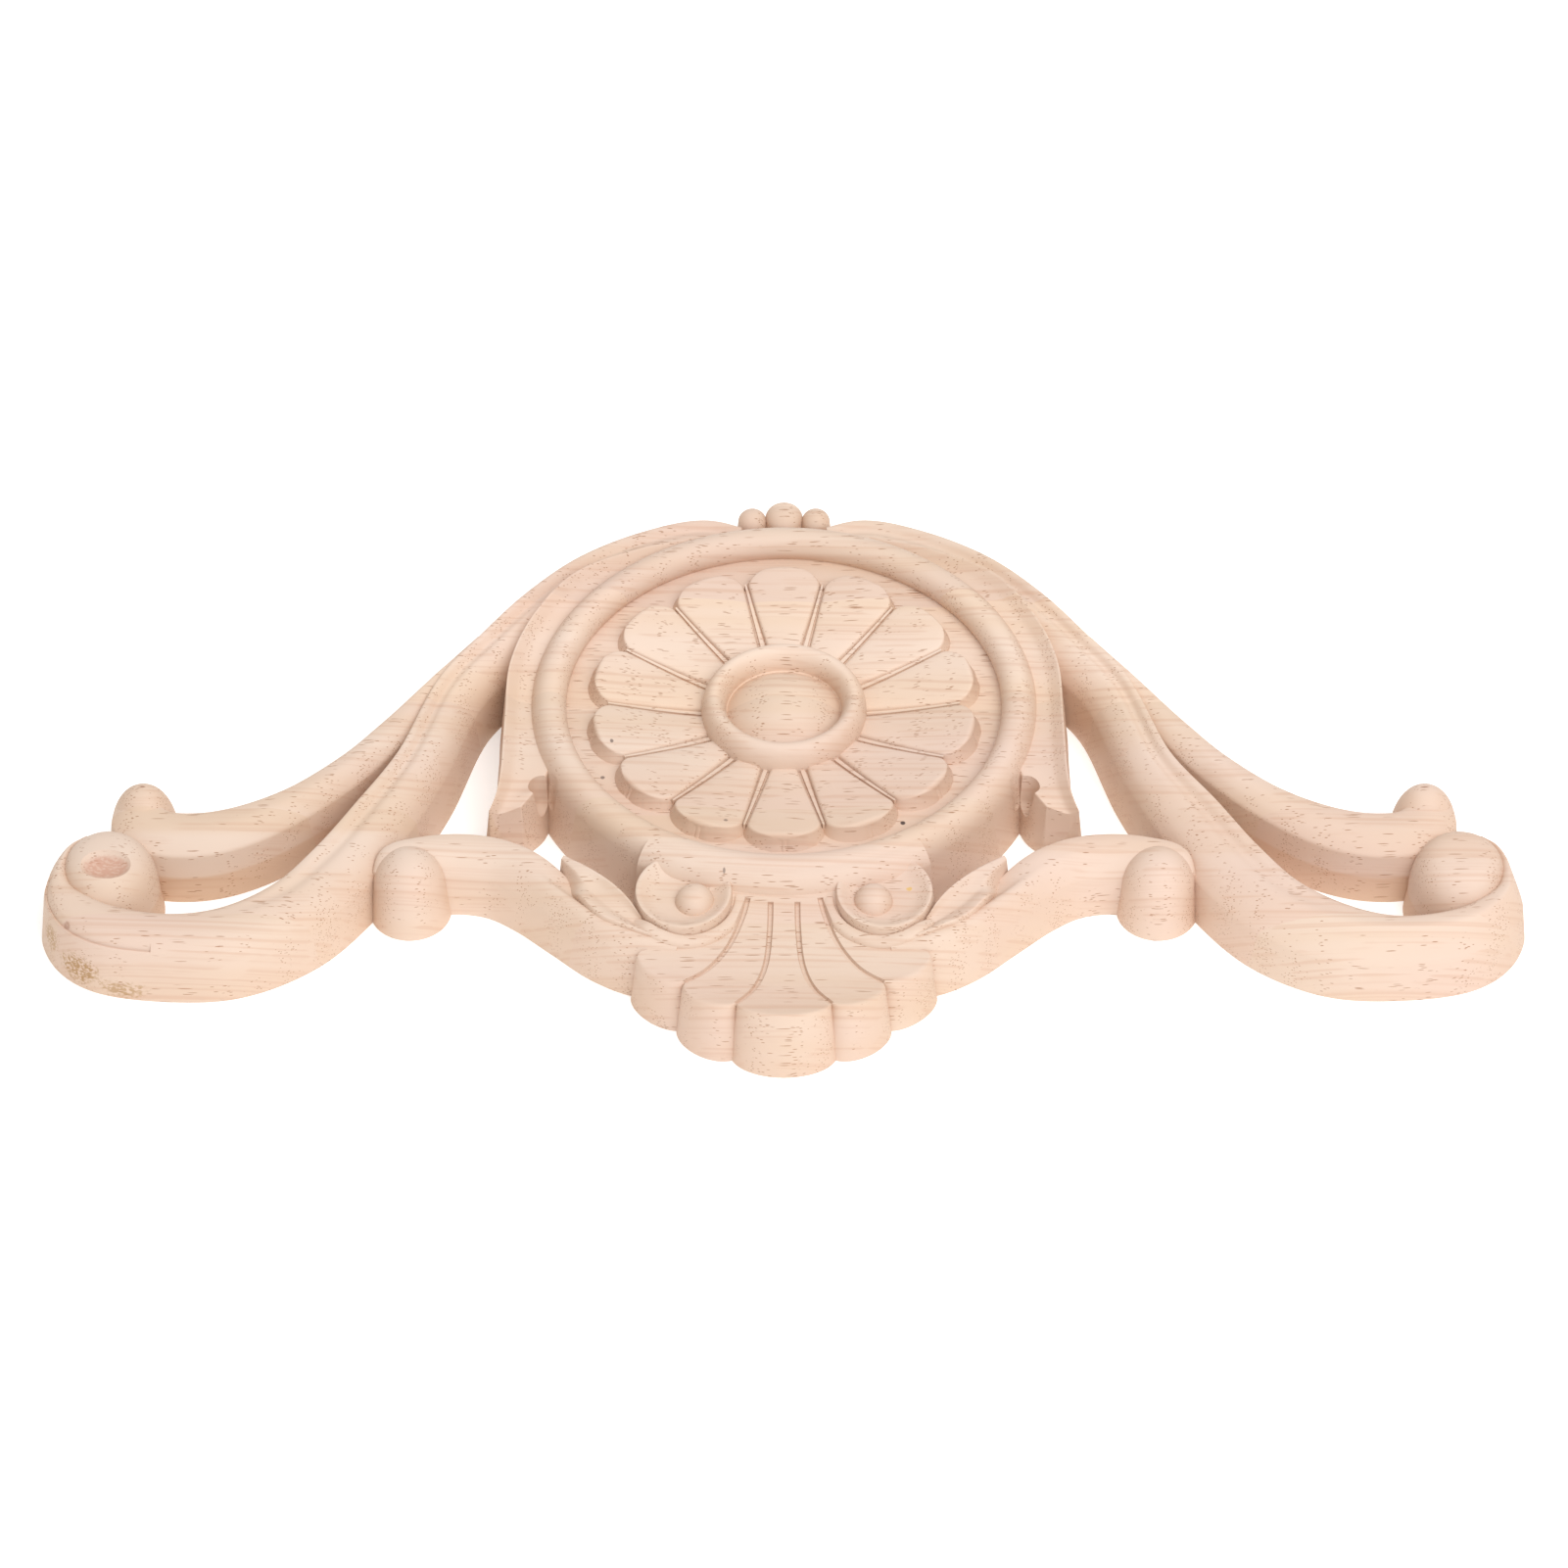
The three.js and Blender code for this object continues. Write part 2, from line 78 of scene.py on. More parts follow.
# %% Floor
def deselect():
    """Nothing stays selected, so the next operator acts on its own piece alone"""
    if bpy.context.object and bpy.context.object.mode != "OBJECT":
        bpy.ops.object.mode_set(mode="OBJECT")
    bpy.ops.object.select_all(action="DESELECT")


def select_only(piece):
    """One piece is selected and active"""
    deselect()
    piece.select_set(True)
    bpy.context.view_layer.objects.active = piece


FLOOR_SIZE = 6.0
FLOOR_DROP = 0.2 * MM
FLOOR_COLOUR = (0.93, 0.93, 0.92, 1)
FLOOR_GLOW = 0.35

deselect()
bpy.ops.mesh.primitive_plane_add(size=FLOOR_SIZE, location=(0, 0, -FLOOR_DROP))
floor = bpy.context.object
floor.name = "floor"
floor_paint = bpy.data.materials.new("pale_floor")
floor_paint.use_nodes = True
floor_shader = floor_paint.node_tree.nodes["Principled BSDF"]
floor_shader.inputs["Base Color"].default_value = FLOOR_COLOUR
floor_shader.inputs["Roughness"].default_value = 0.9
floor_shader.inputs["Emission Color"].default_value = FLOOR_COLOUR
floor_shader.inputs["Emission Strength"].default_value = FLOOR_GLOW
floor.data.materials.append(floor_paint)
print("floor laid at", floor.location.z)

# %% Light
ROOM_STRENGTH = 0.73
LAMP_PLACE = Vector((0.48, -0.7, 1.4))
LAMP_SIZE = 1.3
LAMP_POWER = 18.7

world = bpy.data.worlds.new("room")
world.use_nodes = True
world.node_tree.nodes["Background"].inputs["Color"].default_value = (1, 1, 1, 1)
world.node_tree.nodes["Background"].inputs["Strength"].default_value = ROOM_STRENGTH
bpy.context.scene.world = world
lamp_data = bpy.data.lights.new("soft_lamp", "AREA")
lamp_data.size = LAMP_SIZE
lamp_data.energy = LAMP_POWER
lamp = bpy.data.objects.new("soft_lamp", lamp_data)
bpy.context.collection.objects.link(lamp)
lamp.location = LAMP_PLACE
lamp.rotation_euler = (-LAMP_PLACE).to_track_quat("-Z", "Y").to_euler()
print("room", ROOM_STRENGTH, "lamp", LAMP_POWER, "W")


# %% [markdown]
# ## The wood's finish
# Rubberwood is pale cream to pink. Its vessels are long thin tubes along the grain, which runs along X
# here. A cut along them shows short reddish dashes, and a cut across them shows dots. One pattern in space
# does both: small cells stretched along X, so each carved surface cuts them as a saw would. The same is
# true of the growth bands. Each effect is a node group, which puts out a mask or a colour, and the material
# mixes them.

# %% Helpers for node groups
def new_group(name, inputs, outputs):
    """An empty node group with named sockets, and its input and output nodes"""
    group = bpy.data.node_groups.new(name, "ShaderNodeTree")
    for socket, kind, value in inputs:
        made = group.interface.new_socket(name=socket, in_out="INPUT", socket_type=kind)
        if value is not None:
            made.default_value = value
    for socket, kind in outputs:
        group.interface.new_socket(name=socket, in_out="OUTPUT", socket_type=kind)
    return group, group.nodes.new("NodeGroupInput"), group.nodes.new("NodeGroupOutput")


def fill(tree, socket, value):
    """Links an input to an output, or sets its value"""
    if isinstance(value, bpy.types.NodeSocket):
        tree.links.new(value, socket)
    else:
        socket.default_value = value


def add_node(tree, kind, settings=None, **values):
    """A node with its settings and the values or links of its inputs"""
    node = tree.nodes.new(kind)
    for name, value in (settings or {}).items():
        setattr(node, name, value)
    for name, value in values.items():
        fill(tree, node.inputs[name], value)
    return node


def arithmetic(tree, kind, operation, values):
    """The outputs of one arithmetic step, whose inputs are filled in order"""
    node = add_node(tree, kind, {"operation": operation})
    for socket, value in zip(node.inputs, values):
        fill(tree, socket, value)
    return node.outputs


def maths(tree, operation, *values):
    """One step on numbers"""
    return arithmetic(tree, "ShaderNodeMath", operation, values)["Value"]


def vector_maths(tree, operation, *values, result="Vector"):
    """One step on vectors, whose result is a Vector or a Value"""
    return arithmetic(tree, "ShaderNodeVectorMath", operation, values)[result]


def times(tree, first, second):
    """Two values multiplied"""
    return maths(tree, "MULTIPLY", first, second)


def without(tree, value):
    """1 minus a value, so a mask is turned round"""
    return maths(tree, "SUBTRACT", 1.0, value)


def noise(tree, vector, detail):
    """Smooth random values on coordinates that are stretched already"""
    return add_node(tree, "ShaderNodeTexNoise", None, Vector=vector, Scale=1.0, Detail=detail)


def stretched(tree, vector, scale):
    """Coordinates multiplied by a different factor along each axis"""
    return vector_maths(tree, "MULTIPLY", vector, scale)


def ramped(tree, value, low, high):
    """0 below low, 1 above high and smooth between them"""
    node = add_node(tree, "ShaderNodeMapRange", {"interpolation_type": "SMOOTHSTEP"}, Value=value)
    node.inputs["From Min"].default_value = low
    node.inputs["From Max"].default_value = high
    return node.outputs[0]


def mixed(tree, amount, first, second, blend="MIX"):
    """Two colours mixed by a mask"""
    node = tree.nodes.new("ShaderNodeMix")
    node.data_type = "RGBA"
    node.blend_type = blend
    for socket, value in ((node.inputs[0], amount), (node.inputs[6], first), (node.inputs[7], second)):
        fill(tree, socket, value)
    return node.outputs[2]


print("node helpers ready")

# %% Vessels
VESSEL_LENGTH = 9 * MM
VESSEL_SPACING = 0.5 * MM
VESSEL_EDGE = (0.18, 0.3)                      # in cells from a vessel's middle
WANDER, WANDER_SCALE = 2.2 * MM, 45
CROWD_SCALE, CROWD_EDGE = (12, 110, 110), (0.3, 0.66)

vessels, given, result = new_group(
    "vessels",
    [("Vector", "NodeSocketVector", None), ("Share", "NodeSocketFloat", 0.4)],
    [("Mask", "NodeSocketFloat")])
wander = add_node(vessels, "ShaderNodeTexNoise", None,
                  Vector=given.outputs["Vector"], Scale=WANDER_SCALE, Detail=1.0)
wandering = (0, WANDER, WANDER)
bent = vector_maths(vessels, "MULTIPLY_ADD", wander.outputs["Color"], wandering, given.outputs["Vector"])
cells = stretched(vessels, bent, (1 / VESSEL_LENGTH, 1 / VESSEL_SPACING, 1 / VESSEL_SPACING))
tubes = add_node(vessels, "ShaderNodeTexVoronoi", None, Vector=cells, Scale=1.0, Randomness=1.0)
thin = without(vessels, ramped(vessels, tubes.outputs["Distance"], *VESSEL_EDGE))
lucky = add_node(vessels, "ShaderNodeSeparateColor", None, Color=tubes.outputs["Color"]).outputs[0]
crowd = noise(vessels, stretched(vessels, given.outputs["Vector"], CROWD_SCALE), 2.0)
crowded = times(vessels, ramped(vessels, crowd.outputs["Fac"], *CROWD_EDGE), given.outputs["Share"])
chosen = maths(vessels, "LESS_THAN", lucky, crowded)
vessels.links.new(times(vessels, thin, chosen), result.inputs["Mask"])
print("vessels:", round(VESSEL_LENGTH / MM, 1), "mm long")

# %% Growth layers and boards
LAYER_TILT = (0.02, 0.75, 0.62)
LAYER_BEND = 6 * MM
FINE_LAYERS, BROAD_LAYERS = 760, 70
BEND_SCALE = (13, 20, 20)
PINK_SCALE = (9, 22, 22)
PATCH_SCALE, PATCH_EDGE = (35, 140, 140), (0.25, 0.55)
BOARD_WIDTH = 41 * MM
BOARD_SHIFT = (0.3, 0.1, 0.1)                  # each board comes from another place in the tree

figure, given, result = new_group(
    "growth_figure",
    [("Vector", "NodeSocketVector", None)],
    [(name, "NodeSocketFloat") for name in ("Band", "Streak", "Board", "Pink")])
axes = add_node(figure, "ShaderNodeSeparateXYZ", None, Vector=given.outputs["Vector"])
row = maths(figure, "FLOOR", maths(figure, "DIVIDE", axes.outputs["Y"], BOARD_WIDTH))
board = add_node(figure, "ShaderNodeTexWhiteNoise", {"noise_dimensions": "1D"}, W=row)
moved = vector_maths(figure, "MULTIPLY_ADD", board.outputs["Color"], BOARD_SHIFT, given.outputs["Vector"])
bend = noise(figure, stretched(figure, moved, BEND_SCALE), 1.0)
depth = vector_maths(figure, "DOT_PRODUCT", moved, LAYER_TILT, result="Value")
depth = maths(figure, "ADD", depth, times(figure, bend.outputs["Fac"], LAYER_BEND))
band = add_node(figure, "ShaderNodeTexNoise", {"noise_dimensions": "1D"},
                W=times(figure, depth, BROAD_LAYERS), Scale=1.0, Detail=2.0)
streak = add_node(figure, "ShaderNodeTexNoise", {"noise_dimensions": "1D"},
                  W=times(figure, depth, FINE_LAYERS), Scale=1.0, Detail=2.0)
pink = noise(figure, stretched(figure, moved, PINK_SCALE), 2.0)
patch = noise(figure, stretched(figure, moved, PATCH_SCALE), 2.0)
patchy = times(figure, streak.outputs["Fac"], ramped(figure, patch.outputs["Fac"], *PATCH_EDGE))
figure.links.new(band.outputs["Fac"], result.inputs["Band"])
figure.links.new(patchy, result.inputs["Streak"])
figure.links.new(board.outputs["Value"], result.inputs["Board"])
figure.links.new(pink.outputs["Fac"], result.inputs["Pink"])
print("boards:", round(BOARD_WIDTH / MM), "mm wide")

# %% Spots
SPOT_EDGE = (0.75, 1.15)                       # in shares of the spot's size
FRAY_SCALE = 900
SPECKLE_SCALE, SPECKLE_EDGE = (700, 1500, 1500), (0.4, 0.54)

spot, given, result = new_group(
    "spot",
    [("Vector", "NodeSocketVector", None), ("Place", "NodeSocketVector", (0, 0, 0)),
     ("Size", "NodeSocketVector", (1, 1, 1)), ("Fuzz", "NodeSocketFloat", 0.3),
     ("Speckle", "NodeSocketFloat", 0.0)],
    [("Mask", "NodeSocketFloat")])
from_place = vector_maths(spot, "SUBTRACT", given.outputs["Vector"], given.outputs["Place"])
in_sizes = vector_maths(spot, "DIVIDE", from_place, given.outputs["Size"])
reach = vector_maths(spot, "LENGTH", in_sizes, result="Value")
fray = add_node(spot, "ShaderNodeTexNoise", None,
                Vector=given.outputs["Vector"], Scale=FRAY_SCALE, Detail=3.0)
ragged = maths(spot, "ADD", reach, times(spot, fray.outputs["Fac"], given.outputs["Fuzz"]))
solid = without(spot, ramped(spot, ragged, *SPOT_EDGE))
specks = noise(spot, stretched(spot, given.outputs["Vector"], SPECKLE_SCALE), 2.0)
gaps = without(spot, ramped(spot, specks.outputs["Fac"], *SPECKLE_EDGE))
kept = without(spot, times(spot, gaps, given.outputs["Speckle"]))
spot.links.new(times(spot, solid, kept), result.inputs["Mask"])
print("spot group ready")

# %% The wood material
CREAM = (0.765, 0.605, 0.495, 1)
HONEY = (0.730, 0.548, 0.412, 1)
ROSY = (0.745, 0.545, 0.455, 1)
STREAK_BROWN = (0.560, 0.330, 0.220, 1)
VESSEL_BROWN = (0.330, 0.150, 0.070, 1)
END_GRAIN = (0.600, 0.410, 0.290, 1)
LOW_WALL_TINT = (0.920, 0.830, 0.740, 1)
# the wood is tinted darker below about 8 mm, fading in outwards, towards the top and down to the back
LOW_TINT_OUTWARDS = (105 * MM, 125 * MM)
LOW_TINT_TOPWARD = (-74 * MM, -66 * MM)
LOW_TINT_TOP = (7.8 * MM, 9.0 * MM)
BAND_EDGE = (0.32, 0.68)
PINK_EDGE, PINK_SHARE = (0.4, 0.7), 0.6
DARKEST_BOARD, BOARD_RANGE = 0.92, 0.16
STREAK_EDGE, STREAK_SHARE = (0.42, 0.68), 0.34
END_EDGE, END_SHARE = (0.15, 0.9), 0.4
VESSEL_CROWD, VESSEL_SHARE = 0.62, 0.8

wood = bpy.data.materials.new("pale_rubberwood")
wood.use_nodes = True
tree = wood.node_tree
shader = tree.nodes["Principled BSDF"]
place_in = add_node(tree, "ShaderNodeTexCoord").outputs["Object"]
facing = add_node(tree, "ShaderNodeSeparateXYZ", None,
                  Vector=tree.nodes["Texture Coordinate"].outputs["Normal"]).outputs["X"]
grain = add_node(tree, "ShaderNodeGroup", {"node_tree": figure}, Vector=place_in)
pores = add_node(tree, "ShaderNodeGroup", {"node_tree": vessels}, Vector=place_in, Share=VESSEL_CROWD)

colour = mixed(tree, ramped(tree, grain.outputs["Band"], *BAND_EDGE), CREAM, HONEY)
rosy = times(tree, ramped(tree, grain.outputs["Pink"], *PINK_EDGE), PINK_SHARE)
colour = mixed(tree, rosy, colour, ROSY)
board_tone = maths(tree, "MULTIPLY_ADD", grain.outputs["Board"], BOARD_RANGE, DARKEST_BOARD)
tone = add_node(tree, "ShaderNodeCombineColor", None, Red=board_tone, Green=board_tone, Blue=board_tone)
colour = mixed(tree, 1.0, colour, tone.outputs[0], "MULTIPLY")
place = add_node(tree, "ShaderNodeSeparateXYZ", None, Vector=place_in)
# darker, warmer tint on the lowest part of the walls near the back, outwards and towards the top
behind = without(tree, ramped(tree, place.outputs["Z"], *LOW_TINT_TOP))
outwards = ramped(tree, maths(tree, "ABSOLUTE", place.outputs["X"]), *LOW_TINT_OUTWARDS)
behind = times(tree, behind, outwards)
behind = times(tree, behind, ramped(tree, place.outputs["Y"], *LOW_TINT_TOPWARD))
colour = mixed(tree, behind, colour, LOW_WALL_TINT, "MULTIPLY")
lines = times(tree, ramped(tree, grain.outputs["Streak"], *STREAK_EDGE), STREAK_SHARE)
colour = mixed(tree, lines, colour, STREAK_BROWN)
ends = ramped(tree, maths(tree, "ABSOLUTE", facing), *END_EDGE)
colour = mixed(tree, times(tree, ends, END_SHARE), colour, END_GRAIN)
colour = mixed(tree, times(tree, pores.outputs["Mask"], VESSEL_SHARE), colour, VESSEL_BROWN)
print("wood colours mixed")

# %% [markdown]
# ## Marks of its own
# A real piece has a few marks that no pattern repeats: a smudge of dirt on the left end, some dark specks
# and one yellow spot. Each is a small ball of colour placed in space, so it sits on the surface that passes
# through it.

# %% Dirt and specks
DIRT = (0.370, 0.200, 0.060, 1)
SPECK = (0.080, 0.055, 0.050, 1)
YELLOW = (0.700, 0.430, 0.080, 1)
TORN_RED = (0.520, 0.270, 0.190, 1)
DARK_RED = (0.300, 0.130, 0.080, 1)
PALE = (0.950, 0.930, 0.900, 1)
# colour, place and size in mm, raggedness, how broken up it is, strength
marks = [
    (DIRT, (-189, -88, 6), (14, 8, 8), 0.9, 1.0, 0.8),
    (DIRT, (-197, -79, 9), (5, 8, 7), 0.9, 1.0, 0.6),
    (DIRT, (-177, -93, 3), (12, 5, 5), 0.9, 1.0, 0.6),
    (TORN_RED, (-182.5, -65, 20.8), (7.6, 4.8, 2.4), 0.3, 0.4, 0.75),
    (DARK_RED, (-192.3, -83.5, 17.5), (1.6, 1.6, 1.8), 0.5, 0.3, 0.5),
    (SPECK, (-49.6, -26.4, 16.5), (0.75, 0.75, 3), 0.3, 0.0, 0.7),
    (SPECK, (32.3, -43.9, 16.5), (0.8, 0.8, 3), 0.2, 0.0, 0.97),
    (SPECK, (-15.8, -46.5, 20.5), (0.8, 0.7, 3), 0.6, 0.0, 0.6),
    (SPECK, (-47.2, -16.1, 20), (0.6, 0.9, 3), 0.3, 0.0, 0.7),
    (SPECK, (-16.1, -67.4, 22.6), (0.45, 1.1, 1.6), 0.2, 0.0, 0.6),
    (YELLOW, (33.7, -70.4, 18), (1.1, 1, 1.4), 0.5, 0.0, 0.7),
    (DARK_RED, (-174.5, -35.2, 21), (1.1, 0.7, 1.8), 0.5, 0.0, 0.7),
    (DARK_RED, (174.3, -35.4, 21), (1.8, 0.6, 1.8), 0.5, 0.0, 0.6),
    (PALE, (-50.8, -51.9, 14), (0.8, 0.8, 0.8), 0.3, 0.0, 0.9),
    (PALE, (-53.4, -49.2, 13.4), (0.5, 0.5, 0.8), 0.3, 0.0, 0.8),
]
for mark_colour, at, size, fuzz, speckle, strength in marks:
    mark = add_node(tree, "ShaderNodeGroup", {"node_tree": spot}, Vector=place_in,
                    Place=Vector(at) * MM, Size=Vector(size) * MM, Fuzz=fuzz, Speckle=speckle)
    colour = mixed(tree, times(tree, mark.outputs["Mask"], strength), colour, mark_colour)
tree.links.new(colour, shader.inputs["Base Color"])
print(len(marks), "marks placed")

# %% Roughness and fine surface
SMOOTHEST, ROUGHNESS_RANGE = 0.58, 0.12
FIBRE_SCALE, FIBRE_RELIEF = (900, 2600, 2600), 0.35
WAVE_LENGTH = 0.314                            # of the wave texture itself, at scale 1
RIPPLE_SPACING, RIPPLE_RELIEF = 2.2 * MM, 0.5
SHELL_MIDDLE, SHELL_SPREAD = Vector((0, -98, 18)) * MM, Vector((46, 32, 12)) * MM
VESSEL_RELIEF = 0.9

roughness = maths(tree, "MULTIPLY_ADD", grain.outputs["Band"], ROUGHNESS_RANGE, SMOOTHEST)
tree.links.new(roughness, shader.inputs["Roughness"])
shader.inputs["Specular IOR Level"].default_value = 0.3
fibres = noise(tree, stretched(tree, place_in, FIBRE_SCALE), 2.0)
ripple = add_node(tree, "ShaderNodeTexWave", {"bands_direction": "Y"}, Vector=place_in,
                  Scale=WAVE_LENGTH / RIPPLE_SPACING, Distortion=2.5, Detail=1.0)
height = times(tree, fibres.outputs["Fac"], FIBRE_RELIEF)
scooped = add_node(tree, "ShaderNodeGroup", {"node_tree": spot}, Vector=place_in,
                   Place=SHELL_MIDDLE, Size=SHELL_SPREAD, Fuzz=0.0)
rippled = times(tree, ripple.outputs["Fac"], scooped.outputs["Mask"])
height = maths(tree, "ADD", height, times(tree, rippled, RIPPLE_RELIEF))
height = maths(tree, "SUBTRACT", height, times(tree, pores.outputs["Mask"], VESSEL_RELIEF))
bump = add_node(tree, "ShaderNodeBump", None, Height=height, Strength=0.35, Distance=0.12 * MM)
tree.links.new(bump.outputs[0], shader.inputs["Normal"])
print("surface finish ready")


# %% [markdown]
# ## Drawing curves
# A carver draws the scrolls on the blank as long smooth curves. Here a curve passes through a few drawn
# points, in millimetres, and bends evenly between them. Only the right half is drawn, because the left one
# mirrors it.

# %% Smooth curves
def spans(points):
    """The drawn points with one more at each end, so the first and last stretch bend too"""
    points = [Vector(p) for p in points]
    return [2 * points[0] - points[1]] + points + [2 * points[-1] - points[-2]]


def line_at(points, t, even=False):
    """Point at share t of the curve. Plan curves space their bends by distance, size curves evenly"""
    line = spans(points)
    last = len(line) - 4
    k = min(int(t * (last + 1)), last)
    w = t * (last + 1) - k
    a, b, c, d = line[k:k + 4]
    if even:
        out, into = (c - a) / 2, (d - b) / 2
    else:
        ab, bc, cd = [max((q - p).length, 1e-8) ** 0.5 for p, q in ((a, b), (b, c), (c, d))]
        out = ((b - a) / ab - (c - a) / (ab + bc) + (c - b) / bc) * bc
        into = ((c - b) / bc - (d - b) / (bc + cd) + (d - c) / cd) * bc
    return (2 * b - 2 * c + out + into) * w ** 3 + (3 * c - 3 * b - 2 * out - into) * w ** 2 + out * w + b


def direction_at(points, t):
    """Unit direction of the curve at share t"""
    step = 1e-4
    return (line_at(points, min(1, t + step)) - line_at(points, max(0, t - step))).normalized()


def mix(a, b, share):
    """The value at a share of the way from a to b"""
    return a + (b - a) * share


def smoothstep(x, low, high):
    """0 below low, 1 above high and smooth between them"""
    x = min(1, max(0, (x - low) / (high - low)))
    return x * x * (3 - 2 * x)


print("curve helpers ready")

# %% Soft edges
ARRIS = 0.7                # radius of the sanded edges
EDGE_LINES = 4             # grid lines in one edge's rounding


def edge_drop(distance, radius=ARRIS):
    """How far a rounded edge lies below the face at a distance from the edge"""
    short = max(0, radius - distance)
    return radius - math.sqrt(radius * radius - short * short)


def soft_steps(length, count, radius=ARRIS, first=True, last=True):
    """Shares of a length, close together where its edges are rounded"""
    turns = [math.pi / 2 * k / EDGE_LINES for k in range(EDGE_LINES + 1)]
    near = [radius * (1 - math.cos(turn)) / length for turn in turns]
    start = near if first else [0]
    end = [1 - share for share in reversed(near)] if last else [1]
    inner = count - len(start) - len(end) + 2
    middle = [mix(start[-1], end[0], k / inner) for k in range(1, inner)]
    return start + middle + end


print("arris radius", ARRIS, "mm")

# %% [markdown]
# ## Carving a form
# Each part of the ornament is a face with walls that lean out towards the back, because a cutter leaves
# them so. It could be sculpted, but a face is easier to keep true as a grid. A grid primitive is laid over
# the face, its rim is extruded down for the walls, the new rim is spread a little, and one face closes the
# flat back.

# %% Grid and walls
WALL_LEAN = math.tan(math.radians(6))


def rim_of(face):
    """The face's outer points, in order round it"""
    rim = list(face[0][:-1])
    rim += [row[-1] for row in face[:-1]]
    rim += list(reversed(face[-1]))[:-1]
    rim += [row[0] for row in reversed(face)][:-1]
    return rim


def feet_of(rim, floor_height, lean):
    """Where each rim point's wall meets the floor"""
    area = sum(p.x * q.y - q.x * p.y for p, q in zip(rim, rim[1:] + rim[:1]))
    side = 1 if area > 0 else -1
    feet = []
    for before, here, after in zip(rim[-1:] + rim[:-1], rim, rim[1:] + rim[:1]):
        along = Vector((after.x - before.x, after.y - before.y)).normalized() * side
        out = lean * (here.z - floor_height)
        feet.append(Vector((here.x + along.y * out, here.y - along.x * out, floor_height)))
    return feet


def carve(name, face, floor_height=0.0, lean=WALL_LEAN):
    """A closed carved form from its face, a list of rows of points in millimetres"""
    rows, columns = len(face) - 1, len(face[0]) - 1
    deselect()
    bpy.ops.mesh.primitive_grid_add(x_subdivisions=columns, y_subdivisions=rows, size=1)
    piece = bpy.context.object
    piece.name = name
    for vertex in piece.data.vertices:
        r, c = round((vertex.co.y + 0.5) * rows), round((vertex.co.x + 0.5) * columns)
        vertex.co = face[r][c] * MM
    rim = rim_of(face)
    feet = feet_of(rim, floor_height, lean)
    nearest = KDTree(len(rim))
    for k, point in enumerate(rim):
        nearest.insert((point.x, point.y, 0), k)
    nearest.balance()
    bpy.ops.object.mode_set(mode="EDIT")
    bpy.ops.mesh.select_mode(type="FACE")
    bpy.ops.mesh.select_all(action="SELECT")
    bpy.ops.mesh.region_to_loop()
    bpy.ops.mesh.extrude_edges_move(TRANSFORM_OT_translate={"value": (0, 0, -MM)})
    shape = bmesh.from_edit_mesh(piece.data)
    for vertex in shape.verts:
        if vertex.select:
            vertex.co = feet[nearest.find((vertex.co.x / MM, vertex.co.y / MM, 0))[1]] * MM
    bmesh.update_edit_mesh(piece.data)
    bpy.ops.mesh.edge_face_add()
    bpy.ops.mesh.select_all(action="SELECT")
    bpy.ops.mesh.normals_make_consistent(inside=False)
    bpy.ops.object.mode_set(mode="OBJECT")
    print(name, rows, "x", columns)
    return piece


# %% [markdown]
# ## Turned forms
# Everything round is made as on a lathe: the section is drawn point by point and spun once round the axis.

# %% Turning
def turned(name, outline, steps, centre=(0, 0), length=1.0):
    """A closed round form from its section of (radius, height) points in millimetres"""
    deselect()
    bpy.ops.mesh.primitive_plane_add(size=MM)
    piece = bpy.context.object
    piece.name = name
    bpy.ops.object.mode_set(mode="EDIT")
    bpy.ops.mesh.select_mode(type="VERT")
    bpy.ops.mesh.select_all(action="SELECT")
    bpy.ops.mesh.merge(type="CENTER")
    points = [Vector((radius, 0, height)) * MM for radius, height in outline]
    bpy.ops.transform.translate(value=points[0])
    for before, here in zip(points, points[1:]):
        bpy.ops.mesh.extrude_region_move(TRANSFORM_OT_translate={"value": here - before})
    bpy.ops.mesh.select_all(action="SELECT")
    bpy.ops.mesh.spin(steps=steps, angle=2 * math.pi, center=(0, 0, 0), axis=(0, 0, 1))
    bpy.ops.mesh.select_all(action="SELECT")
    bpy.ops.mesh.remove_doubles(threshold=0.002 * MM)
    bpy.ops.transform.resize(value=(1, length, 1), center_override=(0, 0, 0))
    bpy.ops.transform.translate(value=(centre[0] * MM, centre[1] * MM, 0))
    bpy.ops.mesh.normals_make_consistent(inside=False)
    bpy.ops.object.mode_set(mode="OBJECT")
    print(name, len(outline), "points turned in", steps, "steps")
    return piece


def arc(centre, radii, start, end, steps):
    """Points of an elliptic arc in a section, angles in degrees"""
    turns = [math.radians(mix(start, end, k / steps)) for k in range(steps + 1)]
    return [(centre[0] + radii[0] * math.cos(a), centre[1] + radii[1] * math.sin(a)) for a in turns]


DOME_RINGS = 16


def boss(name, centre, radius, rim, top, length=1.0, fullness=2.0, steps=64):
    """A round-topped boss with a leaning wall. A fullness of 2 is an ellipse, and more is squarer"""
    section = [(0, 0), (radius + WALL_LEAN * rim, 0)]
    for k in range(DOME_RINGS):
        turn = math.pi / 2 * k / DOME_RINGS
        across, rise = math.cos(turn) ** (2 / fullness), math.sin(turn) ** (2 / fullness)
        section.append((radius * across, rim + (top - rim) * rise))
    return turned(name, section + [(0, top)], steps, centre, length)


def tipped(piece, lean):
    """Leans a form sideways, by a share of each point's height"""
    for vertex in piece.data.vertices:
        vertex.co.x += lean * vertex.co.z
    return piece


# %% [markdown]
# ## Joining
# On the real piece all of this is one block of wood. The forms overlap, so a boolean union joins them into
# one skin with crisp valleys where two forms meet, as a cutter leaves them.

# %% Joining and cutting
def edit_all(piece):
    """Opens a piece for editing with every point selected"""
    select_only(piece)
    bpy.ops.object.mode_set(mode="EDIT")
    bpy.ops.mesh.select_all(action="SELECT")


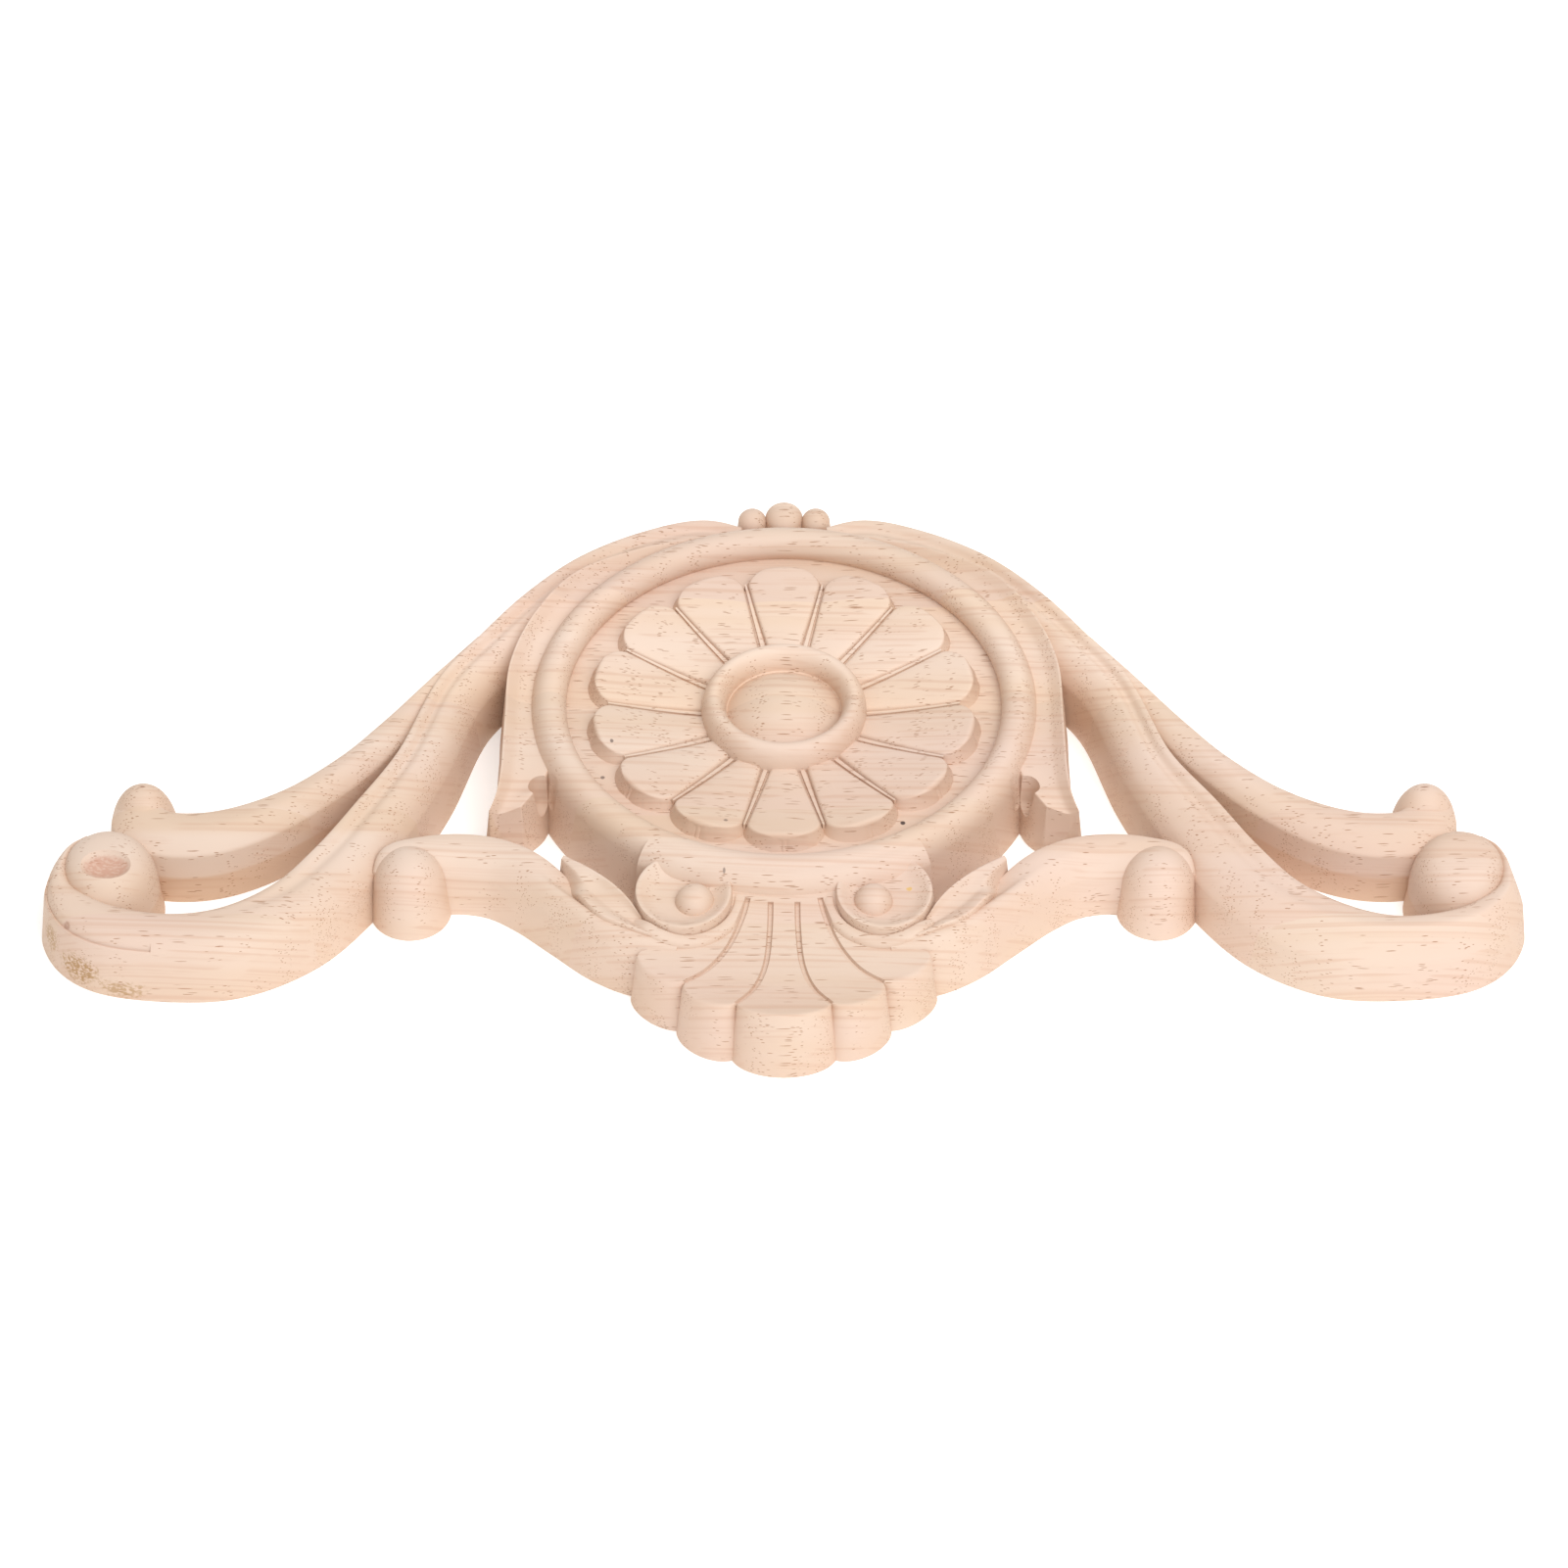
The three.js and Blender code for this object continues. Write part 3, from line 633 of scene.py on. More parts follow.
def combine(whole, part, operation="UNION"):
    """Adds a part to the whole or cuts it away"""
    select_only(whole)
    bpy.ops.object.modifier_add(type="BOOLEAN")
    step = whole.modifiers[-1]
    step.solver = "MANIFOLD"
    step.operation = operation
    step.object = part
    bpy.ops.object.modifier_apply(modifier=step.name)
    bpy.data.objects.remove(part)


def copy_of(piece, name):
    """A copy with its own mesh"""
    select_only(piece)
    bpy.ops.object.duplicate()
    bpy.context.object.name = name
    return bpy.context.object


def flipped(piece):
    """Moves a form over to the left side"""
    edit_all(piece)
    bpy.ops.transform.resize(value=(-1, 1, 1), center_override=(0, 0, 0))
    bpy.ops.mesh.normals_make_consistent(inside=False)
    bpy.ops.object.mode_set(mode="OBJECT")
    return piece


def mirrored(piece, name):
    """A copy of a form on the left side"""
    return flipped(copy_of(piece, name))


# %% [markdown]
# ## The medallion
# A round of wood with a raised ring, a plain field inside it and a shallow bed for the petals. Its section
# is drawn once and turned.

# %% Medallion
MEDALLION_RADIUS = 72
RING_RADIUS = 64.5
RING_HEIGHT = 23.6
BEAD_RADIUS = 4.5
ROLL = (5.6, 7.5)          # width and height of the ring's outer roll
FIELD_HEIGHT = 16.5
PETALS = 14
PETAL_ROOT = (21, 15.6)    # radius and height
PETAL_TIP = (53.5, 21)
PETAL_SHOULDER = 0.8       # share of its length where the round end starts
PETAL_GROOVE = 1.3
PETAL_HOLLOW = 1.35        # power of its rise, 1 for a straight one
BED_STEPS = 8

bed_edge = mix(PETAL_ROOT[0], PETAL_TIP[0], PETAL_SHOULDER)


def petal_height(radius):
    """Height of the petals' edges at a radius. It rises slowly at the root and faster at the tip"""
    share = max(0, (radius - PETAL_ROOT[0]) / (PETAL_TIP[0] - PETAL_ROOT[0]))
    return mix(PETAL_ROOT[1], PETAL_TIP[1], share ** PETAL_HOLLOW)


bead_centre = (RING_RADIUS, RING_HEIGHT - BEAD_RADIUS)
bead_end = 180 + math.degrees(math.asin((bead_centre[1] - FIELD_HEIGHT) / BEAD_RADIUS))
section = [(0, 0), (MEDALLION_RADIUS, 0)]
section += arc((RING_RADIUS, RING_HEIGHT - ROLL[1]), ROLL, 0, 90, steps=12)
section += arc(bead_centre, (BEAD_RADIUS, BEAD_RADIUS), 90, bead_end, steps=14)[1:]
section.append((bed_edge + 1, FIELD_HEIGHT))
for k in range(BED_STEPS + 1):
    radius = mix(bed_edge, PETAL_ROOT[0] - 1, k / BED_STEPS)
    section.append((radius, petal_height(radius) - PETAL_GROOVE))
section.append((0, PETAL_ROOT[1] - PETAL_GROOVE))
applique = turned("carved_applique", section, steps=12 * PETALS)

# %% [markdown]
# ## The flower
# Fourteen petals rise from a round collar towards their round ends. One petal is carved, and the others are
# copies turned about the middle, as a carver repeats one stroke. The collar and its domed button are
# turned.

# %% One petal
ROOT_GAP, END_GAP = 2.5, 1.4
ROOT_STRIP, END_STRIP = 1.2, 0.55
STRIP_DEPTH = 0.5
PETAL_CROWN = 0.5
PETAL_ARRIS = 1.9
PETAL_LEAN = 0.5
PETAL_END_SLOPE = 1.1
NARROWEST = 0.004          # keeps the last row of the round end from closing to a point
PETAL_ROWS, PETAL_END_ROWS, PETAL_COLUMNS = 34, 16, 16
STRIP_ROWS, STRIP_END = 12, 1.5


def petal_face():
    """The petal's face, pointing along +X"""
    wedge = math.tan(math.pi / PETALS)
    start, end = bed_edge, PETAL_TIP[0]
    straight_rows = PETAL_ROWS - PETAL_END_ROWS
    stations = [mix(PETAL_ROOT[0] - 2, start, k / straight_rows) for k in range(straight_rows)]
    turns = [math.pi / 2 * k / PETAL_END_ROWS for k in range(PETAL_END_ROWS + 1)]
    stations += [mix(start, end, math.sin(turn)) for turn in turns]
    face = []
    for radius in stations:
        past = max(0, (radius - start) / (end - start))
        gap = mix(ROOT_GAP, END_GAP, smoothstep(radius, PETAL_ROOT[0], start))
        full = min(radius, start) * wedge - gap / 2
        half = full * math.sqrt(max(NARROWEST, 1 - past * past))
        near = min(PETAL_ARRIS / 2, half / 2)
        row = []
        for share in soft_steps(2 * half, PETAL_COLUMNS, near):
            side = 2 * share - 1
            drop = edge_drop(min(share, 1 - share) * 2 * half, near)
            drop = max(drop, edge_drop((end - radius) * PETAL_END_SLOPE, PETAL_ARRIS))
            crown = PETAL_CROWN * (1 - side * side)
            row.append(Vector((radius, side * half, petal_height(radius) + crown - drop)))
        face.append(row)
    return face


petal_floor = PETAL_ROOT[1] - 2 * PETAL_GROOVE
petal = carve("petal", petal_face(), petal_floor, PETAL_LEAN)

# %% Strip in the groove between two petals
strip_face = []
for k in range(STRIP_ROWS + 1):
    radius = mix(PETAL_ROOT[0], bed_edge + STRIP_END, k / STRIP_ROWS)
    level = petal_height(radius) - STRIP_DEPTH
    half = mix(ROOT_STRIP, END_STRIP, k / STRIP_ROWS) / 2
    strip_face.append([Vector((radius, side * half, level)) for side in (-1, -0.4, 0.4, 1)])
strip = carve("strip", strip_face, petal_floor, 0)


# %% All petals
def repeat_round(piece, offset):
    """Joins copies of a piece to the medallion, turned one petal at a time"""
    for k in range(PETALS):
        placed = copy_of(piece, f"{piece.name}_{k}")
        edit_all(placed)
        turn = math.pi / 2 + 2 * math.pi * (k + offset) / PETALS
        bpy.ops.transform.rotate(value=turn, orient_axis="Z", center_override=(0, 0, 0))
        bpy.ops.object.mode_set(mode="OBJECT")
        combine(applique, placed)
    bpy.data.objects.remove(piece)


repeat_round(petal, 0)
repeat_round(strip, 0.5)
print(PETALS, "petals, faces now", len(applique.data.polygons))

# %% Collar and button
COLLAR_RADII = (16, 22.8)
COLLAR_HEIGHT, COLLAR_FOOT, COLLAR_FULLNESS = 22.3, 10, 1.8
BUTTON_EDGE, BUTTON_TOP = 15.8, 22.4
BUTTON_OVERLAP = 0.3
BUTTON_STEPS = 12

collar_middle, collar_half = sum(COLLAR_RADII) / 2, (COLLAR_RADII[1] - COLLAR_RADII[0]) / 2
collar_rise = COLLAR_FULLNESS * collar_half
section = [(0, COLLAR_FOOT), (COLLAR_RADII[1], COLLAR_FOOT)]
collar_centre = (collar_middle, COLLAR_HEIGHT - collar_rise)
section += arc(collar_centre, (collar_half, collar_rise), 0, 180, steps=18)
for k in range(BUTTON_STEPS + 1):
    share = 1 - k / BUTTON_STEPS
    radius = (COLLAR_RADII[0] - BUTTON_OVERLAP) * share
    section.append((radius, mix(BUTTON_EDGE, BUTTON_TOP, 1 - share * share)))
section[-1] = (0, BUTTON_TOP)
combine(applique, turned("flower_centre", section, steps=96))


# %% [markdown]
# ## The scrolls
# Each scroll is a strap that starts beside the top lobes, runs down outside the medallion and curls into a
# big volute. Its outer edge is a thin arris with a shallow channel inside it, then a soft ridge that rolls
# down to the inner wall. Towards the volute the whole section becomes round. Drawn rows give the strap's
# middle line, its width, its height and how round it is, and a section gives the drop below that height
# across the strap.

# %% Strap sections
TABLE_STEPS = 80


def section_table(section):
    """The drop across a strap, smooth between the given points of (share, crisp drop, round drop)"""
    points = [line_at(section, k / TABLE_STEPS) for k in range(TABLE_STEPS + 1)]
    return [np.array([p[axis] for p in points]) for axis in range(3)]


def strap_face(rows, section, steps, columns):
    """The face of a strap whose rows are (x, y, width, height, roundness)"""
    shares, crisp, rounded = section_table(section)
    middle = [(x, y, 0) for x, y, _, _, _ in rows]
    sizes = [row[2:] for row in rows]
    face = []
    for i in range(steps + 1):
        here, along = line_at(middle, i / steps), direction_at(middle, i / steps)
        width, height, roundness = line_at(sizes, i / steps, even=True)
        roundness = min(1, max(0, roundness))
        radius = min(ARRIS, width / 5)
        row = []
        for share in soft_steps(width, columns, radius):
            drop = mix(np.interp(share, shares, crisp), np.interp(share, shares, rounded), roundness)
            drop += edge_drop(min(share, 1 - share) * width, radius)
            aside = (0.5 - share) * width
            row.append(Vector((here.x - along.y * aside, here.y + along.x * aside, height - drop)))
        face.append(row)
    return face


print("strap helpers ready")

# %% Lower strap of each side
STRAP_WIDTH = 13.5
STRAP_HEIGHT = 20.6

right_section = [
    (0, 0, 3.4), (0.13, 0.3, 1.2), (0.28, 1.7, 0.3), (0.43, 1, 0), (0.5, 1.2, 0.15), (0.56, 1.5, 0.9),
    (0.7, 2.5, 3), (0.85, 4.2, 5.4), (1, 7.5, 8),
]
left_section = [
    (0, 0, 3), (0.13, 0.3, 1.1), (0.28, 1.7, 0.3), (0.43, 1, 0), (0.62, 1.8, 0.3), (0.82, 3.8, 1.4),
    (1, 7.5, 4),
]


def lower_rows(slit, curl):
    """The strap's rows, with the slit's edge and the curl's inner edge moved in by a few millimetres"""
    w, h = STRAP_WIDTH, STRAP_HEIGHT
    return [
        (13, 66.5, w - 1, h - 2.6, 0), (22.6, 68.2, w, h - 1.9, 0), (36.5, 64, w, h - 1.6, 0),
        (53.2, 53.8, w, h - 1, 0), (67, 39.4, w, h - 0.5, 0), (79, 22.7, w - 0.5, h, 0),
        (89.3, 7.2, w - 0.8, h, 0), (99.6, -23.2, w, h + 0.4, 0),
        (109.4 + 0.4 * slit, -43.8 + 0.2 * slit, w + 1 + 0.9 * slit, h + 0.4, 0),
        (119.8 + 0.4 * slit, -61.6 + 0.3 * slit, w + 2 + slit, h, 0.1),
        (131.8 + 0.3 * slit, -75.9 + 0.4 * slit, w + 1.9 + slit, h, 0.4),
        (148.4, -84.8 + 0.4 * slit, w + 1.8 + 0.8 * slit, h, 0.9),
        (165, -86.6 + 0.3 * curl, w + 0.3 + 0.6 * curl, h, 1),
        (182 - 0.1 * curl, -83.6 + 0.5 * curl, w + 0.3 + curl, h, 1),
        (189.9 - 0.3 * curl, -78.3 + 0.3 * curl, w - 1 + 0.9 * curl, h - 0.4, 1),
        (194.9 - 0.2 * curl, -71.3, w - 4.6 + 0.4 * curl, h - 0.8, 1),
        (195.8, -65.4, w - 7.5, h - 1, 1), (195.1, -59.6, w - 9.5, h - 1.5, 1),
        (192.8, -54, w - 11, h - 2, 1), (189, -50.2, w - 12, h - 2.6, 1),
    ]


right_face = strap_face(lower_rows(slit=2.5, curl=-0.4), right_section, steps=190, columns=30)
right_side = carve("right_strap", right_face)
left_face = strap_face(lower_rows(slit=0.8, curl=0.6), left_section, steps=190, columns=26)
left_side = flipped(carve("left_strap", left_face))

# %% Volutes
VOLUTE_PLACE = (182.2, -61.5)
VOLUTE_LEAN = 0.03

for side in (right_side, left_side):
    ball = boss("volute", VOLUTE_PLACE, radius=13.5, rim=6, top=22.7, length=1.09, fullness=3.0, steps=88)
    ball = tipped(ball, VOLUTE_LEAN)
    combine(side, ball if side is right_side else flipped(ball))

# %% Upper strap and its knob
UPPER_HEIGHT = 19.4
KNOB_PLACE = (174.6, -36.8)

h = UPPER_HEIGHT
upper_rows = [
    (84.3, 25.6, 3, h, 0), (94, 11.3, 5, h, 0), (107.4, -9.9, 8.5, h + 0.2, 0.3),
    (117.9, -22.8, 9.5, h + 0.2, 1), (132.8, -36.6, 11, h, 1), (148, -45.6, 13.6, h, 1),
    (159.5, -48.6, 14.8, h, 1), (169.8, -47.6, 15, h, 1), (175.6, -42.6, 14.6, h, 1), (176, -36.5, 11, h, 1),
]
upper_section = [(0, 0.6, 1.6), (0.16, 0, 0.4), (0.42, 0, 0), (0.7, 0.5, 1), (1, 1.8, 3.6)]
right_half = carve("upper_strap", strap_face(upper_rows, upper_section, steps=110, columns=22))
combine(right_half, boss("upper_knob", KNOB_PLACE, radius=9.3, rim=4, top=21.9, fullness=2.2))

# %% [markdown]
# ## The branch and its knuckle
# A thinner strap swings from a round knuckle on the scroll to the shell. Its crest lies near its far edge,
# and it rolls down to the front.

# %% Branch and knuckle
BRANCH_HEIGHT = 19.6
KNUCKLE_PLACE = (101.3, -61.4)

h = BRANCH_HEIGHT
branch_rows = [
    (28, -89, 9, h - 1.5, 1), (38, -86, 12.5, h - 0.4, 1), (47.5, -81, 12.5, h, 1), (58, -72.2, 11.8, h, 0.9),
    (69, -62.8, 11.4, h, 0.1), (78, -57.6, 11, h, 0), (88, -55.8, 10.8, h, 0), (98, -57, 11, h, 0),
    (105.5, -59.6, 10.5, h - 0.4, 0), (109.2, -63, 6, h - 4, 0),
]
branch_section = [
    (0, 0.4, 5), (0.2, 0, 4.5), (0.42, 0.3, 3.1), (0.6, 1.0, 0.9), (0.78, 2.6, 1.5), (1, 6, 6),
]
combine(right_half, carve("branch", strap_face(branch_rows, branch_section, steps=90, columns=22)))
combine(right_half, boss("knuckle", KNUCKLE_PLACE, radius=9.8, rim=11.5, top=21.5))


# %% [markdown]
# ## Forms between two edges
# The side bands, the leaf and the shoulder below the ring have two edges that don't run side by side, so
# each is drawn by both edges and the face is stretched between them.

# %% Face between two edges
def between(outer, inner, heights, section, steps, columns, roundness=lambda t: 0):
    """A face between two drawn edges, with a height along it and a section across it"""
    shares, crisp, rounded = section_table(section)
    levels = [(k, level, 0) for k, level in enumerate(heights)]
    face = []
    for t in soft_steps((Vector(outer[0]) - Vector(outer[-1])).length, steps):
        start, end = line_at(outer, t), line_at(inner, t)
        level = line_at(levels, t).y
        width = (end - start).length
        row = []
        for share in soft_steps(width, columns):
            drop = mix(np.interp(share, shares, crisp), np.interp(share, shares, rounded), roundness(t))
            drop += edge_drop(min(share, 1 - share) * width)
            point = mix(start, end, share)
            row.append(Vector((point.x, point.y, level - drop)))
        face.append(row)
    return face


# %% Side band
BAND_RADIUS = 77
BAND_HEIGHT = 22.6
BAND_COVE = 3.6
BAND_TUCK, BAND_OVERLAP, BAND_SINK = 1.5, 1, 3      # where its upper end runs in under the ring
BAND_TOP, BAND_TAPER, BAND_END, BAND_STEP = 70, 36, -8, 15      # in degrees round the medallion

outer, inner, heights = [], [], []
for angle in range(BAND_TOP, BAND_END, -BAND_STEP):
    taper = smoothstep(angle, BAND_TAPER, BAND_TOP)
    direction = Vector((math.cos(math.radians(angle)), math.sin(math.radians(angle)), 0))
    outer.append(mix(BAND_RADIUS, MEDALLION_RADIUS - BAND_TUCK, taper) * direction)
    inner.append((RING_RADIUS - BAND_OVERLAP) * direction)
    heights.append(mix(BAND_HEIGHT, RING_HEIGHT - BAND_SINK, taper))
tab = [
    (77, -17, 62.5, -15, 0), (77.3, -28, 64, -25, 0), (78, -35, 66.3, -30.8, 0.8),
    (79, -38.6, 68.2, -34.8, 2), (80.2, -41, 71.4, -38.6, 3.6),
]
for outer_x, outer_y, inner_x, inner_y, drop in tab:
    outer.append(Vector((outer_x, outer_y, 0)))
    inner.append(Vector((inner_x, inner_y, 0)))
    heights.append(BAND_HEIGHT - drop)
band_section = [
    (0, 0, 0), (0.14, 0.45 * BAND_COVE, 0.45 * BAND_COVE), (0.32, 0.85 * BAND_COVE, 0.75 * BAND_COVE),
    (0.54, BAND_COVE, 0.7 * BAND_COVE), (1, BAND_COVE, 0.4 * BAND_COVE),
]
band_face = between(outer, inner, heights, band_section, steps=110, columns=26,
                    roundness=lambda t: smoothstep(t, 0.75, 0.9))
combine(right_half, carve("side_band", band_face))

# %% Leaf
LEAF_HEIGHT = 21

h = LEAF_HEIGHT
leaf_upper = [(59.3, -59.4, 0), (51.4, -65.6, 0), (45.6, -71, 0), (41.4, -76.2, 0), (38.4, -81.5, 0)]
leaf_lower = [
    (60.8, -62, 0), (58.6, -68.2, 0), (54.4, -75.6, 0), (48.8, -82.2, 0), (42.8, -85.2, 0),
    (35.5, -88.4, 0),
]
leaf_section = [(0, 0, 0), (0.3, 1.9, 0.2), (0.5, 2.2, 0.5), (0.57, 2.1, 1.5), (0.8, 0.9, 5), (1, 0.3, 7.6)]
leaf_levels = [h - 0.8, h, h, h - 0.6, h - 1.5]
leaf_face = between(leaf_upper, leaf_lower, leaf_levels, leaf_section, steps=40, columns=24,
                    roundness=lambda t: 1 - smoothstep(t, 0.15, 0.42))
combine(right_half, carve("leaf", leaf_face))


# %% [markdown]
# ## The shell
# Five flutes spread from the ring like a fan. Their faces are scooped like a spoon, low in the middle and
# high at the rim, and a narrow channel is cut between each two.

# %% Flutes
SHELL_TOP, SHELL_HOLLOW, SHELL_RIM = 18.2, 16.2, 21.8
STARTS_AT, HOLLOW_AT, RIM_AT = -0.99 * MEDALLION_RADIUS, -95, -120.3


def shell_height(y):
    """Height of the scooped face at a distance from the ring"""
    if y > HOLLOW_AT:
        share = (y - HOLLOW_AT) / (STARTS_AT - HOLLOW_AT)
        return mix(SHELL_HOLLOW, SHELL_TOP, share * share)
    share = (HOLLOW_AT - y) / (HOLLOW_AT - RIM_AT)
    return mix(SHELL_HOLLOW, SHELL_RIM, share * share)


def flute_face(left, right, bulge, rim, rows=56, columns=26):
    """A flute between two drawn lines, with a round end"""
    length = (Vector(left[0]) - Vector(left[-1])).length
    face = []
    for t in soft_steps(length, rows, rim, first=False):
        start, end = line_at(left, t), line_at(right, t)
        width = (end - start).length
        row = []
        for k in range(columns + 1):
            across = (1 - math.cos(math.pi * k / columns)) / 2
            out = math.sqrt(max(0, 1 - (2 * across - 1) ** 2)) * t * t
            point = mix(start, end, across) + Vector((bulge[0] * out, bulge[1] * out, 0))
            drop = edge_drop((1 - t) * length, rim)
            row.append(Vector((point.x, point.y, shell_height(point.y) - drop)))
        face.append(row)
    return face


def other_side(line):
    """The same line on the left side"""
    return [(-x, y, z) for x, y, z in line]


inner_line = [(3.6, -70, 0), (3.8, -84, 0), (5, -97, 0), (8, -106.5, 0), (12.6, -113.6, 0)]
outer_line = [(9, -70, 0), (11.2, -80, 0), (15.1, -90.5, 0), (20.2, -98.3, 0), (26.4, -103.6, 0)]
side_line = [(20, -70, 0), (22, -84, 0), (30, -89.5, 0), (36, -91, 0), (38.8, -92, 0)]
flutes = [
    (right_half, "flute_beside", inner_line, outer_line, (3.3, -4), 1.5),
    (right_half, "flute_outside", outer_line, side_line, (3.4, -2.8), 2.2),
    (applique, "flute_middle", other_side(inner_line), inner_line, (0, -7), 1.1),
]
for whole, name, left, right, bulge, rim in flutes:
    combine(whole, carve(name, flute_face(left, right, bulge, rim)))

# %% Dished discs beside the shell
EYE_PLACE, EYE_BALL_PLACE = (27, -73), (24, -75)
EYE_RADIUS, EYE_HEIGHT, EYE_DISH = 13, 20.4, 2.4
EYE_LENGTH = 1.08
# distance in from the edge, and drop below the disc's height
EYE_RIM = [(0, 0.5), (0.2, 0.12), (0.55, 0), (1, 0.1), (1.7, 0.5), (2.8, 1.2), (4.2, 1.9), (6, EYE_DISH)]

section = [(0, 0), (EYE_RADIUS + WALL_LEAN * EYE_HEIGHT, 0)]
section += [(EYE_RADIUS - inset, EYE_HEIGHT - drop) for inset, drop in EYE_RIM]
section += [(0, EYE_HEIGHT - EYE_DISH)]
combine(right_half, turned("eye_disc", section, steps=80, centre=EYE_PLACE, length=EYE_LENGTH))
combine(right_half, boss("eye_ball", EYE_BALL_PLACE, radius=5.3, rim=17.4, top=22.4, length=1.05, steps=48))

# %% Turn of the leaf round the disc
TURN_RADIUS, TURN_WIDTH, TURN_LENGTH = 15.4, 3.6, 1.05
TURN_START, TURN_CREST, TURN_LOW, TURN_END, TURN_STEP = 20, 52, 100, 186, 15     # in degrees round the disc
TURN_HEIGHT, TURN_RISE, TURN_FALL = 17, 2.6, 1.5

turn_rows = []
for angle in range(TURN_START, TURN_END, TURN_STEP):
    rise = TURN_RISE * smoothstep(angle, TURN_START, TURN_CREST)
    fall = TURN_FALL * smoothstep(angle, TURN_CREST, TURN_LOW)
    a = math.radians(-angle)
    x = EYE_PLACE[0] + TURN_RADIUS * math.cos(a)
    y = EYE_PLACE[1] + TURN_RADIUS * TURN_LENGTH * math.sin(a)
    turn_rows.append((x, y, TURN_WIDTH, TURN_HEIGHT + rise - fall, 0))
turn_section = [(0, 1.1, 1.1), (0.3, 0.3, 0.3), (0.6, 0, 0), (1, 0, 0)]
combine(right_half, carve("leaf_turn", strap_face(turn_rows, turn_section, steps=60, columns=14)))

# %% Side lobe on top
SIDE_LOBE_PLACE, TOP_LOBE_PLACE, WEB_PLACE = (9, 80), (0, 80.8), (0, 75)

combine(right_half, boss("side_lobe", SIDE_LOBE_PLACE, radius=4, rim=13, top=16.6))

# %% [markdown]
# ## Both halves
# The finished right half is copied to the left, and both are joined to the medallion with the forms that
# sit on the middle line: the shoulder below the ring, the top lobe and the low web behind it.

# %% Left half, shoulder and top lobe
SHOULDER_RADIUS, SHOULDER_HEIGHT, SHOULDER_DROP = 72.8, 23.3, 5.2
SHOULDER_HALF, SHOULDER_POINTS = 33, 9         # degrees to each side, points along it

left_half = mirrored(right_half, "left_half")
for part in (right_side, left_side, right_half, left_half):
    combine(applique, part)
shares = [2 * k / (SHOULDER_POINTS - 1) - 1 for k in range(SHOULDER_POINTS)]
turns = [math.radians(-90 + SHOULDER_HALF * share) for share in shares]
outer = [Vector((math.cos(a), math.sin(a), 0)) * SHOULDER_RADIUS for a in turns]
inner = [Vector((math.cos(a), math.sin(a), 0)) * RING_RADIUS for a in turns]
drops = [(share, SHOULDER_DROP * part) for share, part in ((0, 1), (0.2, 0.55), (0.5, 0.2), (1, 0))]
shoulder_section = [(share, drop, drop) for share, drop in drops]
levels = [SHOULDER_HEIGHT] * SHOULDER_POINTS
shoulder_face = between(outer, inner, levels, shoulder_section, steps=90, columns=20)
combine(applique, carve("shoulder", shoulder_face))
combine(applique, boss("top_lobe", TOP_LOBE_PLACE, radius=5.3, rim=13.5, top=17.4))
combine(applique, boss("lobe_web", WEB_PLACE, radius=12, rim=9, top=12, length=0.5))

# %% [markdown]
# ## Channels of the shell
# A narrow flat-bottomed channel runs down between the flutes. The cutter is a bent bar: its face is the
# channel's floor, upside down, so the same carving helper makes it.

# %% Cut the channels
CHANNEL_START = 0.085
CUTTER_ROOF = 40
CUTTER_ABOVE = 2


def channel_cutter(line, floor_half, slope, depth):
    """A bar whose underside is the channel's floor and flanks, along points on the carved surface"""
    face = []
    for k, here in enumerate(line):
        along = line[min(k + 1, len(line) - 1)] - line[max(k - 1, 0)]
        along = Vector((along.x, along.y, 0)).normalized()
        row = []
        above = depth + CUTTER_ABOVE
        for side, rise in ((-1, above), (-1, 0), (1, 0), (1, above)):
            aside = side * (floor_half + slope * rise)
            x, y, z = here.x - along.y * aside, here.y + along.x * aside, here.z - depth + rise
            row.append(Vector((x, -y, CUTTER_ROOF - z)))
        face.append(row)
    cutter = carve("channel_cutter", face, floor_height=0, lean=0)
    edit_all(cutter)
    bpy.ops.transform.rotate(value=math.pi, orient_axis="X", center_override=(0, 0, CUTTER_ROOF / 2 * MM))
    bpy.ops.object.mode_set(mode="OBJECT")
    return cutter


def on_shell(line, steps=60):
    """Points on the scooped face above a drawn line"""
    points = [line_at(line, mix(CHANNEL_START, 1, k / steps)) for k in range(steps + 1)]
    return [Vector((p.x, p.y, shell_height(p.y))) for p in points]


for line in (inner_line, outer_line):
    cutter = channel_cutter(on_shell(line), floor_half=0.45, slope=0.35, depth=1.0)
    other = mirrored(cutter, "other_cutter")
    combine(applique, cutter, "DIFFERENCE")
    combine(applique, other, "DIFFERENCE")
print("channels cut, faces now", len(applique.data.polygons))

# %% [markdown]
# ## Marks of the tools
# A round-nosed cutter cleared the corner between each side band and the medallion. The left volute has a
# torn knot and a slip of the knife along its outer edge. Each is cut away with a plain form, as the tool
# did it.

# %% Cutter's scoop beside each band
SCOOP_RADIUS = 3.1
SCOOP_FOOT = (65.9, -31.8, 7.8)
CUTTER_LENGTH = 24

